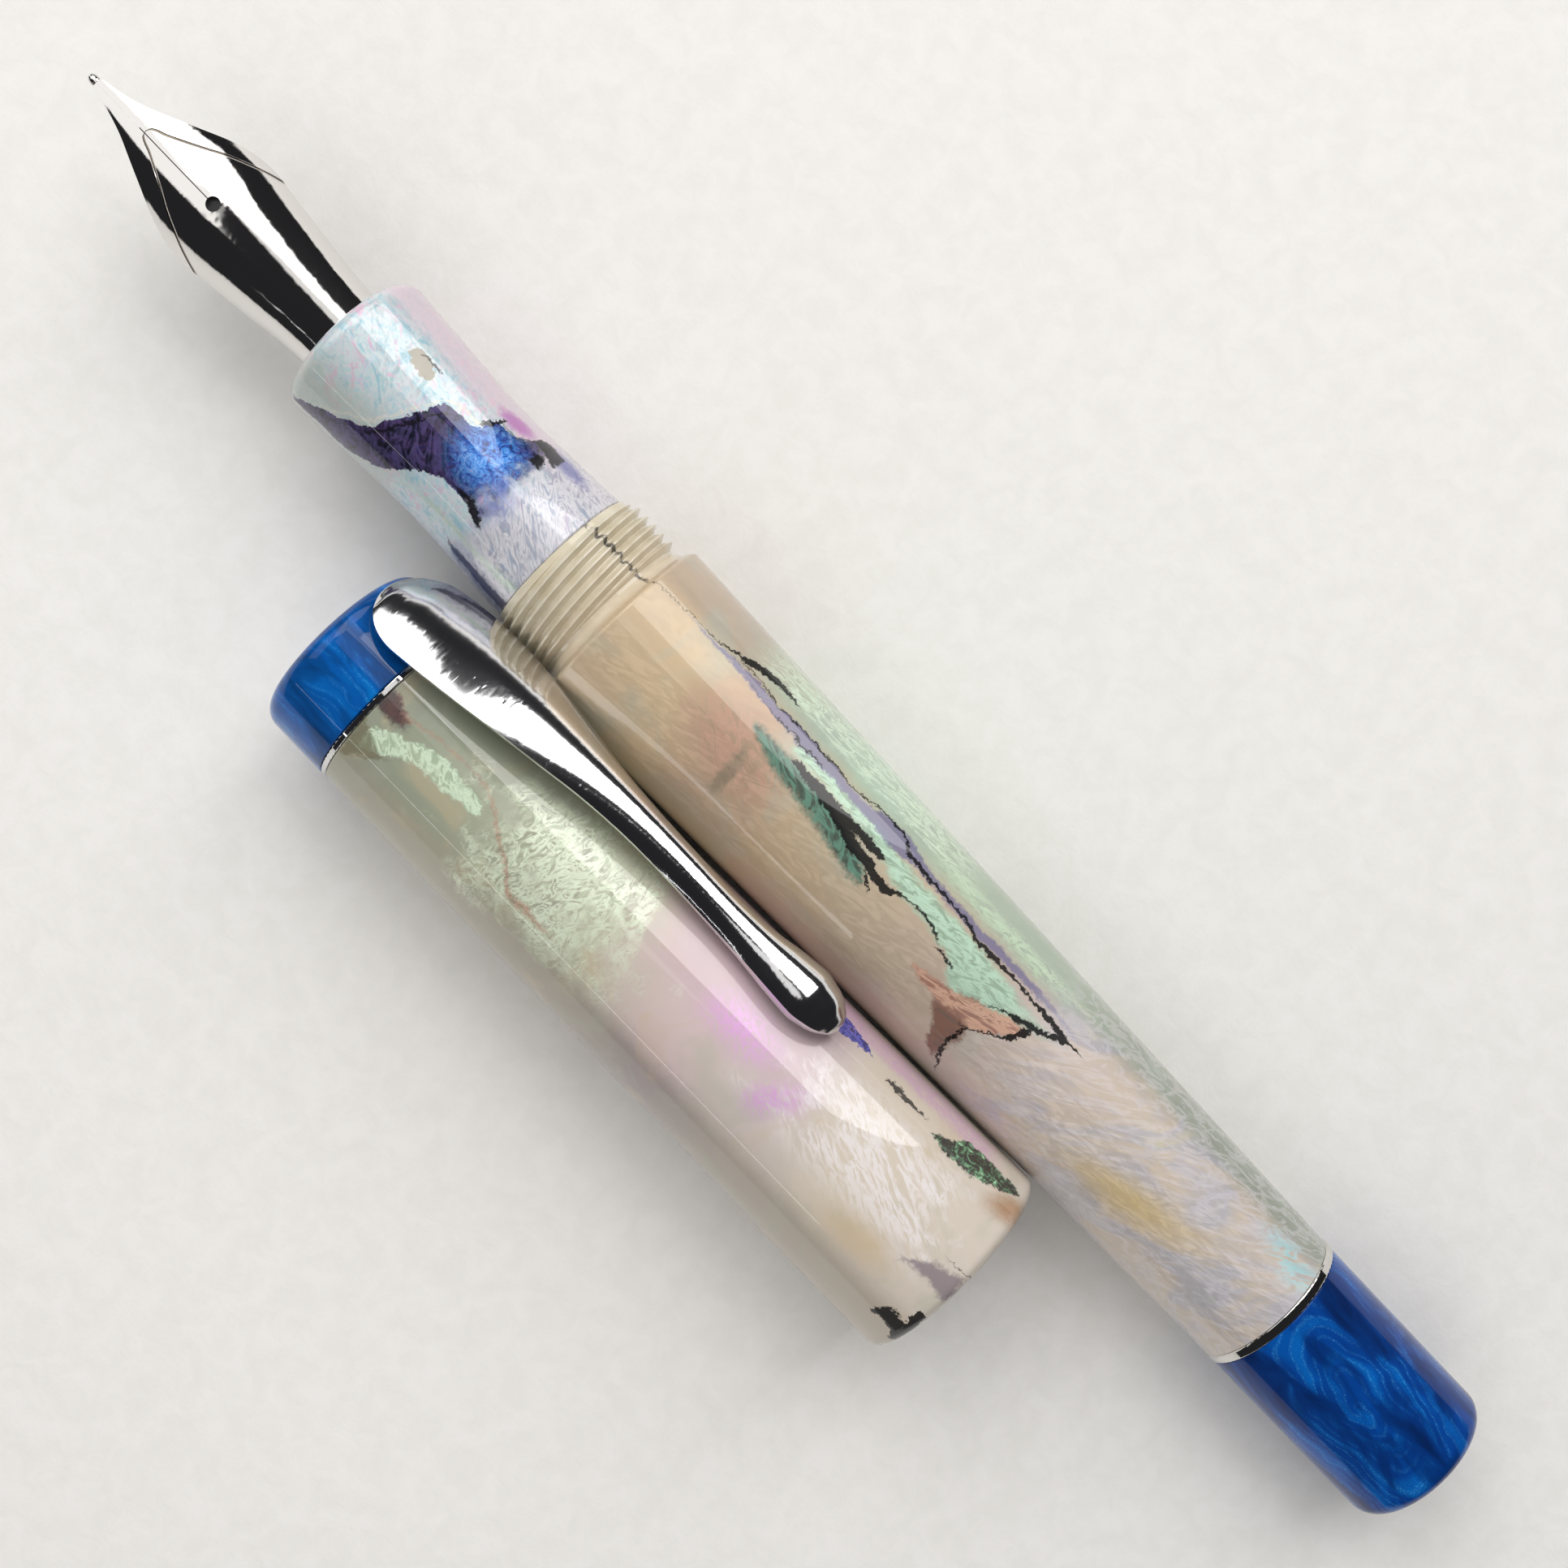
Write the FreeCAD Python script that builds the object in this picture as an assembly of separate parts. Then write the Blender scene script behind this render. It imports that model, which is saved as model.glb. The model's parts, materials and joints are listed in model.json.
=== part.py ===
import FreeCAD, Part
import math
import os
from FreeCAD import Matrix, Placement, Rotation, Vector

# Uncapped fountain pen lying beside its cap, millimetres, +Z up, both resting on z = 0.
# +X runs from the nib to the blind cap, +Y is the pen's side, -Y the cap's side.
# Pen pieces are drawn on the X axis with x = 0 at the joint between section and barrel.
# Cap pieces are drawn on the X axis with x = 0 at the finial's end and +X towards the mouth.

# Cap thread: M13 x 0.8, three starts
THREAD_R = 6.42
THREAD_DEPTH = 0.5
THREAD_PITCH = 0.8
THREAD_STARTS = 3
THREAD_ROOT_FLAT = 0.10
GROOVE_LENGTHS = 3
GROOVE_OVERLAP = 0.02
FLANK_SLOPE = math.tan(math.radians(30))

# Barrel
BARREL_LAND_R = 5.88
BARREL_THREAD_START = 0.4
BARREL_THREAD_END = 4.75
BARREL_SHOULDER_X = 5.65
BARREL_FULL_X = 6.0
BARREL_R = 7.06
BARREL_ROUND = 0.3
BARREL_END_X = 70.42
BARREL_END_R = 5.66
CONVERTER_BAY_R = 4.3

# Blind cap and its ring
RING_WIDTH = 0.70
RING_R = 5.75
RING_GAP = 0.02
BLIND_END_X = 86.4
BLIND_END_R = 5.60
BLIND_ROUND = 1.2
BLIND_TENON_R = 4.45
BLIND_TENON_LENGTH = 8.0
BLIND_BORE_R = 3.6
BLIND_BORE_END_X = 80.5

# Grip section
SECTION_FRONT_X = -21.1
SECTION_LIP_R = 5.88
SECTION_WAIST_X = -9.2
SECTION_WAIST_R = 5.22
SECTION_REAR_R = 5.72
SECTION_TENON_R = 4.98
SECTION_TENON_LENGTH = 9.0
SECTION_TENON_BORE_R = 3.85
TENON_FIT = 0.05
ORING_WIRE_R = 0.4
ORING_X = 1.3

# Nib housing
HOUSING_FLANGE_R = 4.3
HOUSING_FLANGE = 1.0
HOUSING_R = 3.95
HOUSING_BORE_R = 3.53
HOUSING_REAR_X = -2.8
HOUSING_FIT = 0.05
NIPPLE_R = 1.3
NIPPLE_END_X = 3.2

# Nib: (x, half width, height of the crown over the axis, radius of the curl, thickness)
NIB_STATIONS = [
    (-45.0, 0.36, 1.46, 1.9, 0.50),
    (-44.4, 0.51, 1.60, 2.0, 0.48),
    (-43.3, 0.70, 1.86, 2.3, 0.46),
    (-42.2, 0.97, 2.10, 2.8, 0.44),
    (-41.1, 1.33, 2.30, 3.3, 0.42),
    (-40.1, 1.77, 2.48, 3.8, 0.40),
    (-37.95, 2.74, 2.80, 4.6, 0.38),
    (-35.8, 3.77, 3.04, 5.1, 0.36),
    (-34.7, 4.16, 3.13, 5.15, 0.35),
    (-33.6, 4.38, 3.20, 5.1, 0.35),
    (-32.5, 4.44, 3.27, 5.0, 0.35),
    (-31.4, 4.33, 3.32, 4.8, 0.35),
    (-29.2, 4.07, 3.37, 4.38, 0.35),
    (-27.0, 3.82, 3.40, 4.02, 0.35),
    (-24.8, 3.58, 3.41, 3.68, 0.35),
    (-22.6, 3.39, 3.42, 3.44, 0.35),
]
NIB_STEP = 1.1
NIB_HEEL_X = -10.5
NIB_SLIT = 0.07
NIB_HOLE_X = -33.0
NIB_HOLE_R = 0.53
TIP_X = -45.3
TIP_HEIGHT = 1.14
TIP_LENGTH = 1.1
TIP_WIDTH = 0.74
NIB_ROLL = 3.0
NIB_YAW = 0.55
NIB_YAW_X = -15.7

# Feed: a round heel and (x, height of the centre, radius) of the round nose
FEED_R = 3.03
FEED_HEEL_X = -9.3
FEED_NOSE = [(-40.6, 1.55, 0.65), (-37.4, 0.95, 1.75), (-33.7, 0.35, 2.65), (-30.0, 0.0, 3.03)]
FEED_NIB_GAP = 0.02
FIN_FIRST_X = -35.5
FIN_LAST_X = -23.0
FIN_PITCH = 0.8
FIN_SLOT = 0.35
FIN_CORE_R = 1.7

# Converter
CONVERTER_FRONT_X = -1.6
MOUTH_R = 3.7
MOUTH_BORE_R = 1.33
MOUTH_SHOULDER_X = 3.7
MOUTH_SPIGOT_END_X = 7.6
INK_PASSAGE_R = 0.9
TUBE_R = 3.6
TUBE_BORE_R = 3.0
TUBE_END_X = 37.8
COLLAR_R = 3.85
COLLAR_WALL = 0.22
COLLAR_START_X = 35.7
COLLAR_END_X = 53.7
GUIDE_LENGTH = 3.0
ROD_R = 1.2
ROD_FLAT = 0.85
ROD_LENGTH = 30.8
SEAL_LENGTH = 4.0
SEAL_X = 8.4
KNOB_R = 3.3
KNOB_STEM_R = 2.5
KNOB_FLANGE_R = 3.55
KNOB_END_X = 72.1
KNOB_FLUTES = 12
SLIP = 0.03

# Cap
CAP_LENGTH = 60.3
CAP_MOUTH_R = 7.85
CAP_LIP_ROUND = 0.8
CLIP_SEAT_R = 7.1
FINIAL_LENGTH = 5.8
FINIAL_EDGE_ROUND = 1.3
FINIAL_SOCKET_END = 1.35
CLIP_RING_THICKNESS = 0.5
CAP_TENON_R = 5.0
CAP_TENON_TOP = 1.6
CAP_TENON_BORE_R = 3.9
NIB_CHAMBER_R = 5.0
SECTION_CHAMBER_START = 33.0
SECTION_CHAMBER_R = 6.02
CAP_THREAD_MINOR_R = 6.06
CAP_THREAD_ROOT_R = 6.54
CAP_RELIEF_R = 6.60
CAP_THREAD_START = 52.6
CAP_THREAD_END = 58.3

# Clip between its rounded ends: (x, half width, distance of the flat underside from the cap's
# axis, height of the widest line over the underside, thickness)
CLIP_STATIONS = [
    (4.8, 4.02, 8.02, 0.36, 1.30),
    (6.2, 4.05, 8.23, 0.39, 1.34),
    (7.7, 4.00, 8.44, 0.40, 1.37),
    (10.5, 3.76, 8.74, 0.40, 1.38),
    (13.6, 3.34, 8.94, 0.40, 1.38),
    (17.0, 2.78, 8.98, 0.40, 1.40),
    (20.0, 2.24, 8.96, 0.40, 1.46),
    (23.5, 1.80, 8.84, 0.40, 1.58),
    (27.5, 1.56, 8.58, 0.42, 1.74),
    (32.0, 1.52, 8.24, 0.50, 1.90),
    (35.2, 1.76, 8.04, 0.78, 2.20),
    (37.4, 2.14, 7.90, 1.16, 2.60),
    (39.3, 2.36, 7.88, 1.28, 2.80),
]
CLIP_STEP = 1.05
CLIP_HEAD_REACH = 3.85
CLIP_HEAD_DROP = 0.56
CLIP_TIP_REACH = 3.5
CLIP_END_LIFT = 0.35
CLIP_END_TURNS = (15, 30, 45, 59, 71, 81, 87)
CLIP_INSET_SHARE = 0.55
CLIP_ANGLE = 44.5
TONGUE_WIDTH = 3.4
TONGUE_TOP = 8.02
TONGUE_ROOT = 6.8

# How the two halves lie side by side
CAP_TOP_FROM_PEN_JOINT = -6.7
CAP_TOP_OFFSET = 14.98
CAP_YAW = 1.04
PEN_JOINT_X = -20.33
PEN_AXIS_Y = 7.46


def outline_wire(corners):
    """Closed wire in the XZ plane through (x, z) or (x, z, round) corners."""
    points = [Vector(c[0], 0, c[1]) for c in corners]
    rounds = [c[2] if len(c) > 2 else 0 for c in corners]
    stops = []
    for i, corner in enumerate(points):
        if not rounds[i]:
            stops.append((corner, None, corner))
            continue
        before = (points[i - 1] - corner).normalize()
        after = (points[(i + 1) % len(points)] - corner).normalize()
        half = before.getAngle(after) / 2
        reach = rounds[i] / math.tan(half)
        middle = (before + after).normalize() * (rounds[i] / math.sin(half) - rounds[i])
        stops.append((corner + before * reach, corner + middle, corner + after * reach))
    edges = []
    for i, (first, middle, last) in enumerate(stops):
        if middle is not None:
            edges.append(Part.Arc(first, middle, last).toShape())
        following = stops[(i + 1) % len(stops)][0]
        if last.distanceToPoint(following) > 1e-6:
            edges.append(Part.makeLine(last, following))
    return Part.Wire(Part.__sortEdges__(edges))


def turned(corners):
    """Solid of revolution about the X axis from an outline of (x, radius) corners."""
    return Part.Face(outline_wire(corners)).revolve(Vector(0, 0, 0), Vector(1, 0, 0), 360)


def rod_between(x0, x1, radius):
    return Part.makeCylinder(radius, x1 - x0, Vector(x0, 0, 0), Vector(1, 0, 0))


def tube_between(x0, x1, outer, inner):
    return rod_between(x0, x1, outer).cut(rod_between(x0, x1, inner))


def taper_radius(x, x0, r0, x1, r1):
    return r0 + (r1 - r0) * (x - x0) / (x1 - x0)


def thread_grooves(x0, x1, root_r, open_r):
    """Swept trapezoid grooves of the cap thread, flat at root_r and open at open_r, in short lengths."""
    lead = THREAD_PITCH * THREAD_STARTS
    half_root = THREAD_ROOT_FLAT / 2
    half_open = half_root + abs(open_r - root_r) * FLANK_SLOPE
    step = (x1 - x0) / GROOVE_LENGTHS
    grooves = []
    for start in range(THREAD_STARTS):
        for length in range(GROOVE_LENGTHS):
            begin = length * step
            run = step if length == GROOVE_LENGTHS - 1 else step + GROOVE_OVERLAP
            helix = Part.makeHelix(lead, run, root_r)
            profile = Part.makePolygon([
                Vector(root_r, 0, -half_root),
                Vector(root_r, 0, half_root),
                Vector(open_r, 0, half_open),
                Vector(open_r, 0, -half_open),
                Vector(root_r, 0, -half_root),
            ])
            groove = Part.Wire(helix.Edges).makePipeShell([profile], True, True)
            turn = start / THREAD_STARTS + begin / lead
            groove.rotate(Vector(0, 0, 0), Vector(0, 0, 1), 360 * turn)
            groove.rotate(Vector(0, 0, 0), Vector(0, 1, 0), 90)
            groove.translate(Vector(x0 + begin, 0, 0))
            grooves.append(groove)
    return grooves


def cut_all(shape, tools):
    for tool in tools:
        shape = shape.cut(tool)
    return shape


def make_barrel():
    root_r = THREAD_R - THREAD_DEPTH
    relief_r = root_r - 0.06
    tenon_bore_r = SECTION_TENON_R + TENON_FIT
    blind_bore_r = BLIND_TENON_R + TENON_FIT
    tenon_bore_end = SECTION_TENON_LENGTH + 0.4
    blind_bore_start = BARREL_END_X - BLIND_TENON_LENGTH - 0.3
    blank = turned([
        (0, tenon_bore_r),
        (0, BARREL_LAND_R, 0.1),
        (BARREL_THREAD_START, BARREL_LAND_R),
        (BARREL_THREAD_START + 0.35, THREAD_R),
        (BARREL_THREAD_END - 0.35, THREAD_R),
        (BARREL_THREAD_END, relief_r),
        (BARREL_SHOULDER_X - 0.65, relief_r),
        (BARREL_SHOULDER_X, THREAD_R),
        (BARREL_FULL_X, BARREL_R, BARREL_ROUND),
        (BARREL_END_X, BARREL_END_R),
        (BARREL_END_X, blind_bore_r),
        (blind_bore_start, blind_bore_r),
        (blind_bore_start, CONVERTER_BAY_R),
        (tenon_bore_end, CONVERTER_BAY_R),
        (tenon_bore_end, tenon_bore_r),
    ])
    overshoot_r = THREAD_R + 0.1
    return cut_all(blank, thread_grooves(0.1, BARREL_THREAD_END, root_r, overshoot_r))


def make_section_oring():
    circle = Part.Circle(
        Vector(ORING_X, 0, SECTION_TENON_R - ORING_WIRE_R), Vector(0, 1, 0), ORING_WIRE_R
    )
    face = Part.Face(Part.Wire(circle.toShape()))
    return face.revolve(Vector(0, 0, 0), Vector(1, 0, 0), 360)


def make_section():
    groove_r = SECTION_TENON_R - 2 * ORING_WIRE_R - SLIP
    groove_half = ORING_WIRE_R + SLIP
    housing_bore_r = HOUSING_R + HOUSING_FIT
    flange_seat = SECTION_FRONT_X + 0.2 + HOUSING_FLANGE + SLIP
    return turned([
        (SECTION_FRONT_X, HOUSING_FLANGE_R + HOUSING_FIT, 0.05),
        (SECTION_FRONT_X, SECTION_LIP_R, 1.1),
        (SECTION_WAIST_X, SECTION_WAIST_R, 45),
        (-0.02, SECTION_REAR_R, 0.15),
        (-0.02, SECTION_TENON_R),
        (ORING_X - groove_half, SECTION_TENON_R),
        (ORING_X - groove_half, groove_r),
        (ORING_X + groove_half, groove_r),
        (ORING_X + groove_half, SECTION_TENON_R),
        (SECTION_TENON_LENGTH - 0.4, SECTION_TENON_R),
        (SECTION_TENON_LENGTH, SECTION_TENON_R - 0.4),
        (SECTION_TENON_LENGTH, SECTION_TENON_BORE_R),
        (HOUSING_REAR_X + 0.1, SECTION_TENON_BORE_R),
        (HOUSING_REAR_X + 0.1, housing_bore_r),
        (flange_seat, housing_bore_r),
        (flange_seat, HOUSING_FLANGE_R + HOUSING_FIT),
    ])


def make_nib_housing():
    front = SECTION_FRONT_X + 0.2
    bore_end = FEED_HEEL_X + 0.3
    return turned([
        (front, HOUSING_BORE_R),
        (front, HOUSING_FLANGE_R, 0.2),
        (front + HOUSING_FLANGE, HOUSING_FLANGE_R),
        (front + HOUSING_FLANGE, HOUSING_R),
        (HOUSING_REAR_X, HOUSING_R, 0.4),
        (HOUSING_REAR_X, NIPPLE_R + 0.9),
        (CONVERTER_FRONT_X - 0.2, NIPPLE_R + 0.9),
        (CONVERTER_FRONT_X - 0.2, NIPPLE_R),
        (NIPPLE_END_X, NIPPLE_R, 0.2),
        (NIPPLE_END_X, INK_PASSAGE_R - 0.2),
        (bore_end, INK_PASSAGE_R - 0.2),
        (bore_end, HOUSING_BORE_R),
    ])


def resampled(stations, step):
    """Evenly spaced stations on a smooth curve through the given ones, keyed by their first value."""
    count = len(stations)
    slopes = []
    for i in range(count):
        low = stations[max(i - 1, 0)]
        high = stations[min(i + 1, count - 1)]
        slopes.append([(b - a) / (high[0] - low[0]) for a, b in zip(low, high)])
    pieces = math.ceil((stations[-1][0] - stations[0][0]) / step)
    even = []
    for n in range(pieces + 1):
        x = stations[0][0] + (stations[-1][0] - stations[0][0]) * n / pieces
        i = min(max(k for k in range(count) if stations[k][0] <= x + 1e-9), count - 2)
        width = stations[i + 1][0] - stations[i][0]
        t = (x - stations[i][0]) / width
        weights = (2 * t**3 - 3 * t**2 + 1, t**3 - 2 * t**2 + t, 3 * t**2 - 2 * t**3, t**3 - t**2)
        row = []
        for a, da, b, db in zip(stations[i], slopes[i], stations[i + 1], slopes[i + 1]):
            row.append(a * weights[0] + da * width * weights[1] + b * weights[2] + db * width * weights[3])
        even.append(tuple(row))
    return even


def curl_wire(x, half_width, crown, radius, thickness):
    """Cross-section of the nib at x: two arcs about one centre, closed by radial ends."""
    centre = crown - radius
    angle = math.asin(half_width / radius)
    inner = radius - thickness

    def on(r, a):
        return Vector(x, r * math.sin(a), centre + r * math.cos(a))

    return Part.Wire([
        Part.Arc(on(radius, -angle), on(radius, 0), on(radius, angle)).toShape(),
        Part.makeLine(on(radius, angle), on(inner, angle)),
        Part.Arc(on(inner, angle), on(inner, 0), on(inner, -angle)).toShape(),
        Part.makeLine(on(inner, -angle), on(radius, -angle)),
    ])


def make_nib():
    """Curled blade, widest at the shoulders, with a straight heel, a slit and a round breather hole."""
    blade = Part.makeLoft([curl_wire(*station) for station in resampled(NIB_STATIONS, NIB_STEP)], True)
    heel_x = NIB_STATIONS[-1][0]
    heel = Part.Face(curl_wire(*NIB_STATIONS[-1])).extrude(Vector(NIB_HEEL_X - heel_x, 0, 0))
    slit_start = TIP_X - 2
    slit = Part.makeBox(
        NIB_HOLE_X - slit_start, NIB_SLIT, 10, Vector(slit_start, -NIB_SLIT / 2, -2)
    )
    hole = Part.makeCylinder(NIB_HOLE_R, 10, Vector(NIB_HOLE_X, 0, -2), Vector(0, 0, 1))
    return cut_all(blade.fuse(heel), [slit, hole])


def tip_pellet():
    ball = Part.makeSphere(0.5)
    stretch = Matrix()
    stretch.scale(TIP_LENGTH, TIP_WIDTH, TIP_WIDTH)
    pellet = ball.transformGeometry(stretch)
    pellet.translate(Vector(TIP_X, 0, TIP_HEIGHT))
    return pellet


def make_tip_half(side, nib):
    """Half of the tipping pellet, on the side of the slit that the sign of side names."""
    edge = NIB_SLIT / 2 if side > 0 else -NIB_SLIT / 2 - 3
    half = Part.makeBox(6, 3, 6, Vector(TIP_X - 3, edge, TIP_HEIGHT - 3))
    return tip_pellet().common(half).cut(nib)


def over_nib_wire(x, half_width, crown, radius, thickness):
    """Cross-section at x of the room above the nib's underside, a hair wider than the nib."""
    inner = radius - thickness - FEED_NIB_GAP
    centre = crown - radius
    angle = math.asin(half_width / radius)
    foot_y = inner * math.sin(angle)
    foot_z = centre + inner * math.cos(angle)
    side = half_width + 3
    top = crown + 3
    corners = [(foot_y, foot_z), (side, foot_z), (side, top), (-side, top), (-side, foot_z), (-foot_y, foot_z)]
    points = [Vector(x, y, z) for y, z in corners]
    edges = [Part.makeLine(a, b) for a, b in zip(points, points[1:])]
    arc = Part.Arc(points[-1], Vector(x, 0, centre + inner), points[0]).toShape()
    return Part.Wire([arc] + edges)


def make_feed():
    """Round heel and tapering nose, cut to fit under the nib, with fins across its underside."""
    heel = rod_between(FEED_NOSE[-1][0], FEED_HEEL_X, FEED_R)
    rings = [
        Part.Wire(Part.Circle(Vector(x, 0, z), Vector(1, 0, 0), r).toShape())
        for x, z, r in resampled(FEED_NOSE, 2)
    ]
    body = heel.fuse(Part.makeLoft(rings, True))
    wires = [over_nib_wire(*station) for station in resampled(NIB_STATIONS, NIB_STEP)]
    over_heel = Part.Face(wires[-1]).extrude(Vector(FEED_HEEL_X - NIB_STATIONS[-1][0] + 1, 0, 0))
    feed = cut_all(body, [Part.makeLoft(wires, True), over_heel])
    count = int((FIN_LAST_X - FIN_FIRST_X) / FIN_PITCH) + 1
    for i in range(count):
        x = FIN_FIRST_X + i * FIN_PITCH
        ring = tube_between(x, x + FIN_SLOT, 5, FIN_CORE_R)
        lower = Part.makeBox(FIN_SLOT, 10, 5.6, Vector(x, -5, -5))
        feed = feed.cut(ring.common(lower))
    return feed


def make_converter_mouth():
    spigot_r = TUBE_BORE_R - 0.01
    bore_end = NIPPLE_END_X + 0.2
    return turned([
        (CONVERTER_FRONT_X, MOUTH_BORE_R, 0.1),
        (CONVERTER_FRONT_X, MOUTH_R, 0.3),
        (MOUTH_SHOULDER_X, MOUTH_R),
        (MOUTH_SHOULDER_X, spigot_r),
        (MOUTH_SPIGOT_END_X, spigot_r),
        (MOUTH_SPIGOT_END_X, INK_PASSAGE_R),
        (bore_end, INK_PASSAGE_R),
        (bore_end, MOUTH_BORE_R),
    ])


def make_converter_tube():
    return tube_between(MOUTH_SHOULDER_X + 0.01, TUBE_END_X, TUBE_R, TUBE_BORE_R)


def make_converter_collar():
    inner = COLLAR_R - COLLAR_WALL
    lip_r = KNOB_STEM_R + 0.08
    return turned([
        (COLLAR_START_X, inner),
        (COLLAR_START_X, COLLAR_R, 0.08),
        (COLLAR_END_X, COLLAR_R, 0.15),
        (COLLAR_END_X, lip_r),
        (COLLAR_END_X - 0.8, lip_r),
        (COLLAR_END_X - 0.8, inner),
    ])


def rod_section(radius, flat):
    """Round bar of the given radius with two flats, as a solid along X from x = 0 to 1."""
    bar = rod_between(0, 1, radius)
    return bar.common(Part.makeBox(1, 2 * flat, 4 * radius, Vector(0, -flat, -2 * radius)))


def make_converter_guide():
    start = TUBE_END_X + 0.02
    bush = rod_between(start, start + GUIDE_LENGTH, COLLAR_R - COLLAR_WALL - 0.01)
    hole = rod_section(ROD_R + SLIP, ROD_FLAT + SLIP)
    stretch = Matrix()
    stretch.scale(GUIDE_LENGTH + 2, 1, 1)
    hole = hole.transformGeometry(stretch)
    hole.translate(Vector(start - 1, 0, 0))
    return bush.cut(hole)


def make_converter_seal():
    start = SEAL_X
    bore_r = TUBE_BORE_R - 0.03
    return turned([
        (start, 0),
        (start, bore_r, 0.2),
        (start + 0.9, bore_r, 0.2),
        (start + 0.9, bore_r - 0.7),
        (start + SEAL_LENGTH - 0.9, bore_r - 0.7),
        (start + SEAL_LENGTH - 0.9, bore_r, 0.2),
        (start + SEAL_LENGTH, bore_r, 0.2),
        (start + SEAL_LENGTH, 0),
    ])


def make_converter_rod():
    start = SEAL_X + SEAL_LENGTH + 0.01
    end = start + ROD_LENGTH
    bar = rod_between(start, end, ROD_R)
    keep = Part.makeBox(ROD_LENGTH, 2 * ROD_FLAT, 6, Vector(start, -ROD_FLAT, -3))
    foot = rod_between(start, start + 0.8, 2.2)
    return bar.common(keep).fuse(foot).removeSplitter()


def make_converter_knob():
    stem_start = TUBE_END_X + 0.02 + GUIDE_LENGTH + 0.05
    flange_end = stem_start + 1.2
    nut_end = stem_start + 2.6
    grip_start = COLLAR_END_X + 0.06
    bore_r = ROD_R + SLIP
    knob = turned([
        (stem_start, bore_r),
        (stem_start, KNOB_FLANGE_R),
        (flange_end, KNOB_FLANGE_R),
        (flange_end, KNOB_STEM_R),
        (COLLAR_END_X - 2.1, KNOB_STEM_R),
        (COLLAR_END_X - 2.1, KNOB_FLANGE_R),
        (COLLAR_END_X - 0.9, KNOB_FLANGE_R),
        (COLLAR_END_X - 0.9, KNOB_STEM_R),
        (grip_start, KNOB_STEM_R),
        (grip_start, KNOB_R, 0.2),
        (KNOB_END_X, KNOB_R - 0.1, 0.8),
        (KNOB_END_X, 0),
        (KNOB_END_X - 0.9, 0),
        (KNOB_END_X - 0.9, bore_r + 0.25),
        (nut_end, bore_r + 0.25),
        (nut_end, bore_r),
    ])
    flute_start = grip_start + 1.5
    for i in range(KNOB_FLUTES):
        flute = rod_between(flute_start, KNOB_END_X + 1, 0.42)
        flute.translate(Vector(0, 0, KNOB_R + 0.2))
        flute.rotate(Vector(0, 0, 0), Vector(1, 0, 0), 360 * (i + 0.5) / KNOB_FLUTES)
        knob = knob.cut(flute)
    return knob


def make_blind_cap_ring():
    start = BARREL_END_X + RING_GAP
    end = start + RING_WIDTH
    inner = BLIND_TENON_R + TENON_FIT
    return turned([(start, inner), (start, RING_R, 0.12), (end, RING_R, 0.12), (end, inner)])


def make_blind_cap():
    seat = BARREL_END_X + RING_WIDTH + 2 * RING_GAP
    tenon_start = BARREL_END_X - BLIND_TENON_LENGTH
    return turned([
        (tenon_start, BLIND_BORE_R),
        (tenon_start, BLIND_TENON_R - 0.3),
        (tenon_start + 0.3, BLIND_TENON_R),
        (seat, BLIND_TENON_R),
        (seat, BARREL_END_R, 0.08),
        (BLIND_END_X, BLIND_END_R, BLIND_ROUND),
        (BLIND_END_X, 0),
        (BLIND_BORE_END_X, 0),
        (BLIND_BORE_END_X, BLIND_BORE_R, 1.0),
    ])


def cap_radius(x):
    seat = FINIAL_LENGTH + CLIP_RING_THICKNESS
    return taper_radius(x, seat, CLIP_SEAT_R, CAP_LENGTH, CAP_MOUTH_R)


def make_cap_body():
    seat = FINIAL_LENGTH + CLIP_RING_THICKNESS + 0.02
    blank = turned([
        (CAP_TENON_TOP, 0),
        (CAP_TENON_TOP, CAP_TENON_R - 0.3),
        (CAP_TENON_TOP + 0.3, CAP_TENON_R),
        (seat, CAP_TENON_R),
        (seat, cap_radius(seat), 0.08),
        (CAP_LENGTH, CAP_MOUTH_R, CAP_LIP_ROUND),
        (CAP_LENGTH, CAP_RELIEF_R, 0.2),
        (CAP_THREAD_END, CAP_RELIEF_R),
        (CAP_THREAD_END, CAP_THREAD_MINOR_R + 0.3),
        (CAP_THREAD_END - 0.3, CAP_THREAD_MINOR_R),
        (CAP_THREAD_START + 0.3, CAP_THREAD_MINOR_R),
        (CAP_THREAD_START, CAP_THREAD_MINOR_R + 0.3),
        (CAP_THREAD_START, CAP_RELIEF_R),
        (CAP_THREAD_START - 1.2, CAP_RELIEF_R),
        (CAP_THREAD_START - 1.2, SECTION_CHAMBER_R),
        (SECTION_CHAMBER_START, SECTION_CHAMBER_R),
        (SECTION_CHAMBER_START - 0.8, NIB_CHAMBER_R),
        (seat + 3.0, NIB_CHAMBER_R, 1.0),
        (seat + 1.4, CAP_TENON_BORE_R, 1.0),
        (CAP_TENON_TOP + 1.0, CAP_TENON_BORE_R, 0.6),
        (CAP_TENON_TOP + 1.0, 0),
    ])
    grooves = thread_grooves(
        CAP_THREAD_START - 0.4, CAP_THREAD_END + 0.4, CAP_THREAD_ROOT_R, CAP_THREAD_MINOR_R - 0.1
    )
    return cut_all(blank, grooves)


def make_cap_finial():
    seat = FINIAL_LENGTH - 0.02
    socket_r = CAP_TENON_R + 0.04
    return turned([
        (-0.1, 0),
        (0, cap_radius(0) - 1.4, 3),
        (0.25, cap_radius(0), FINIAL_EDGE_ROUND),
        (seat, cap_radius(seat), 0.08),
        (seat, socket_r),
        (FINIAL_SOCKET_END, socket_r),
        (FINIAL_SOCKET_END, 0),
    ])


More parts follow.
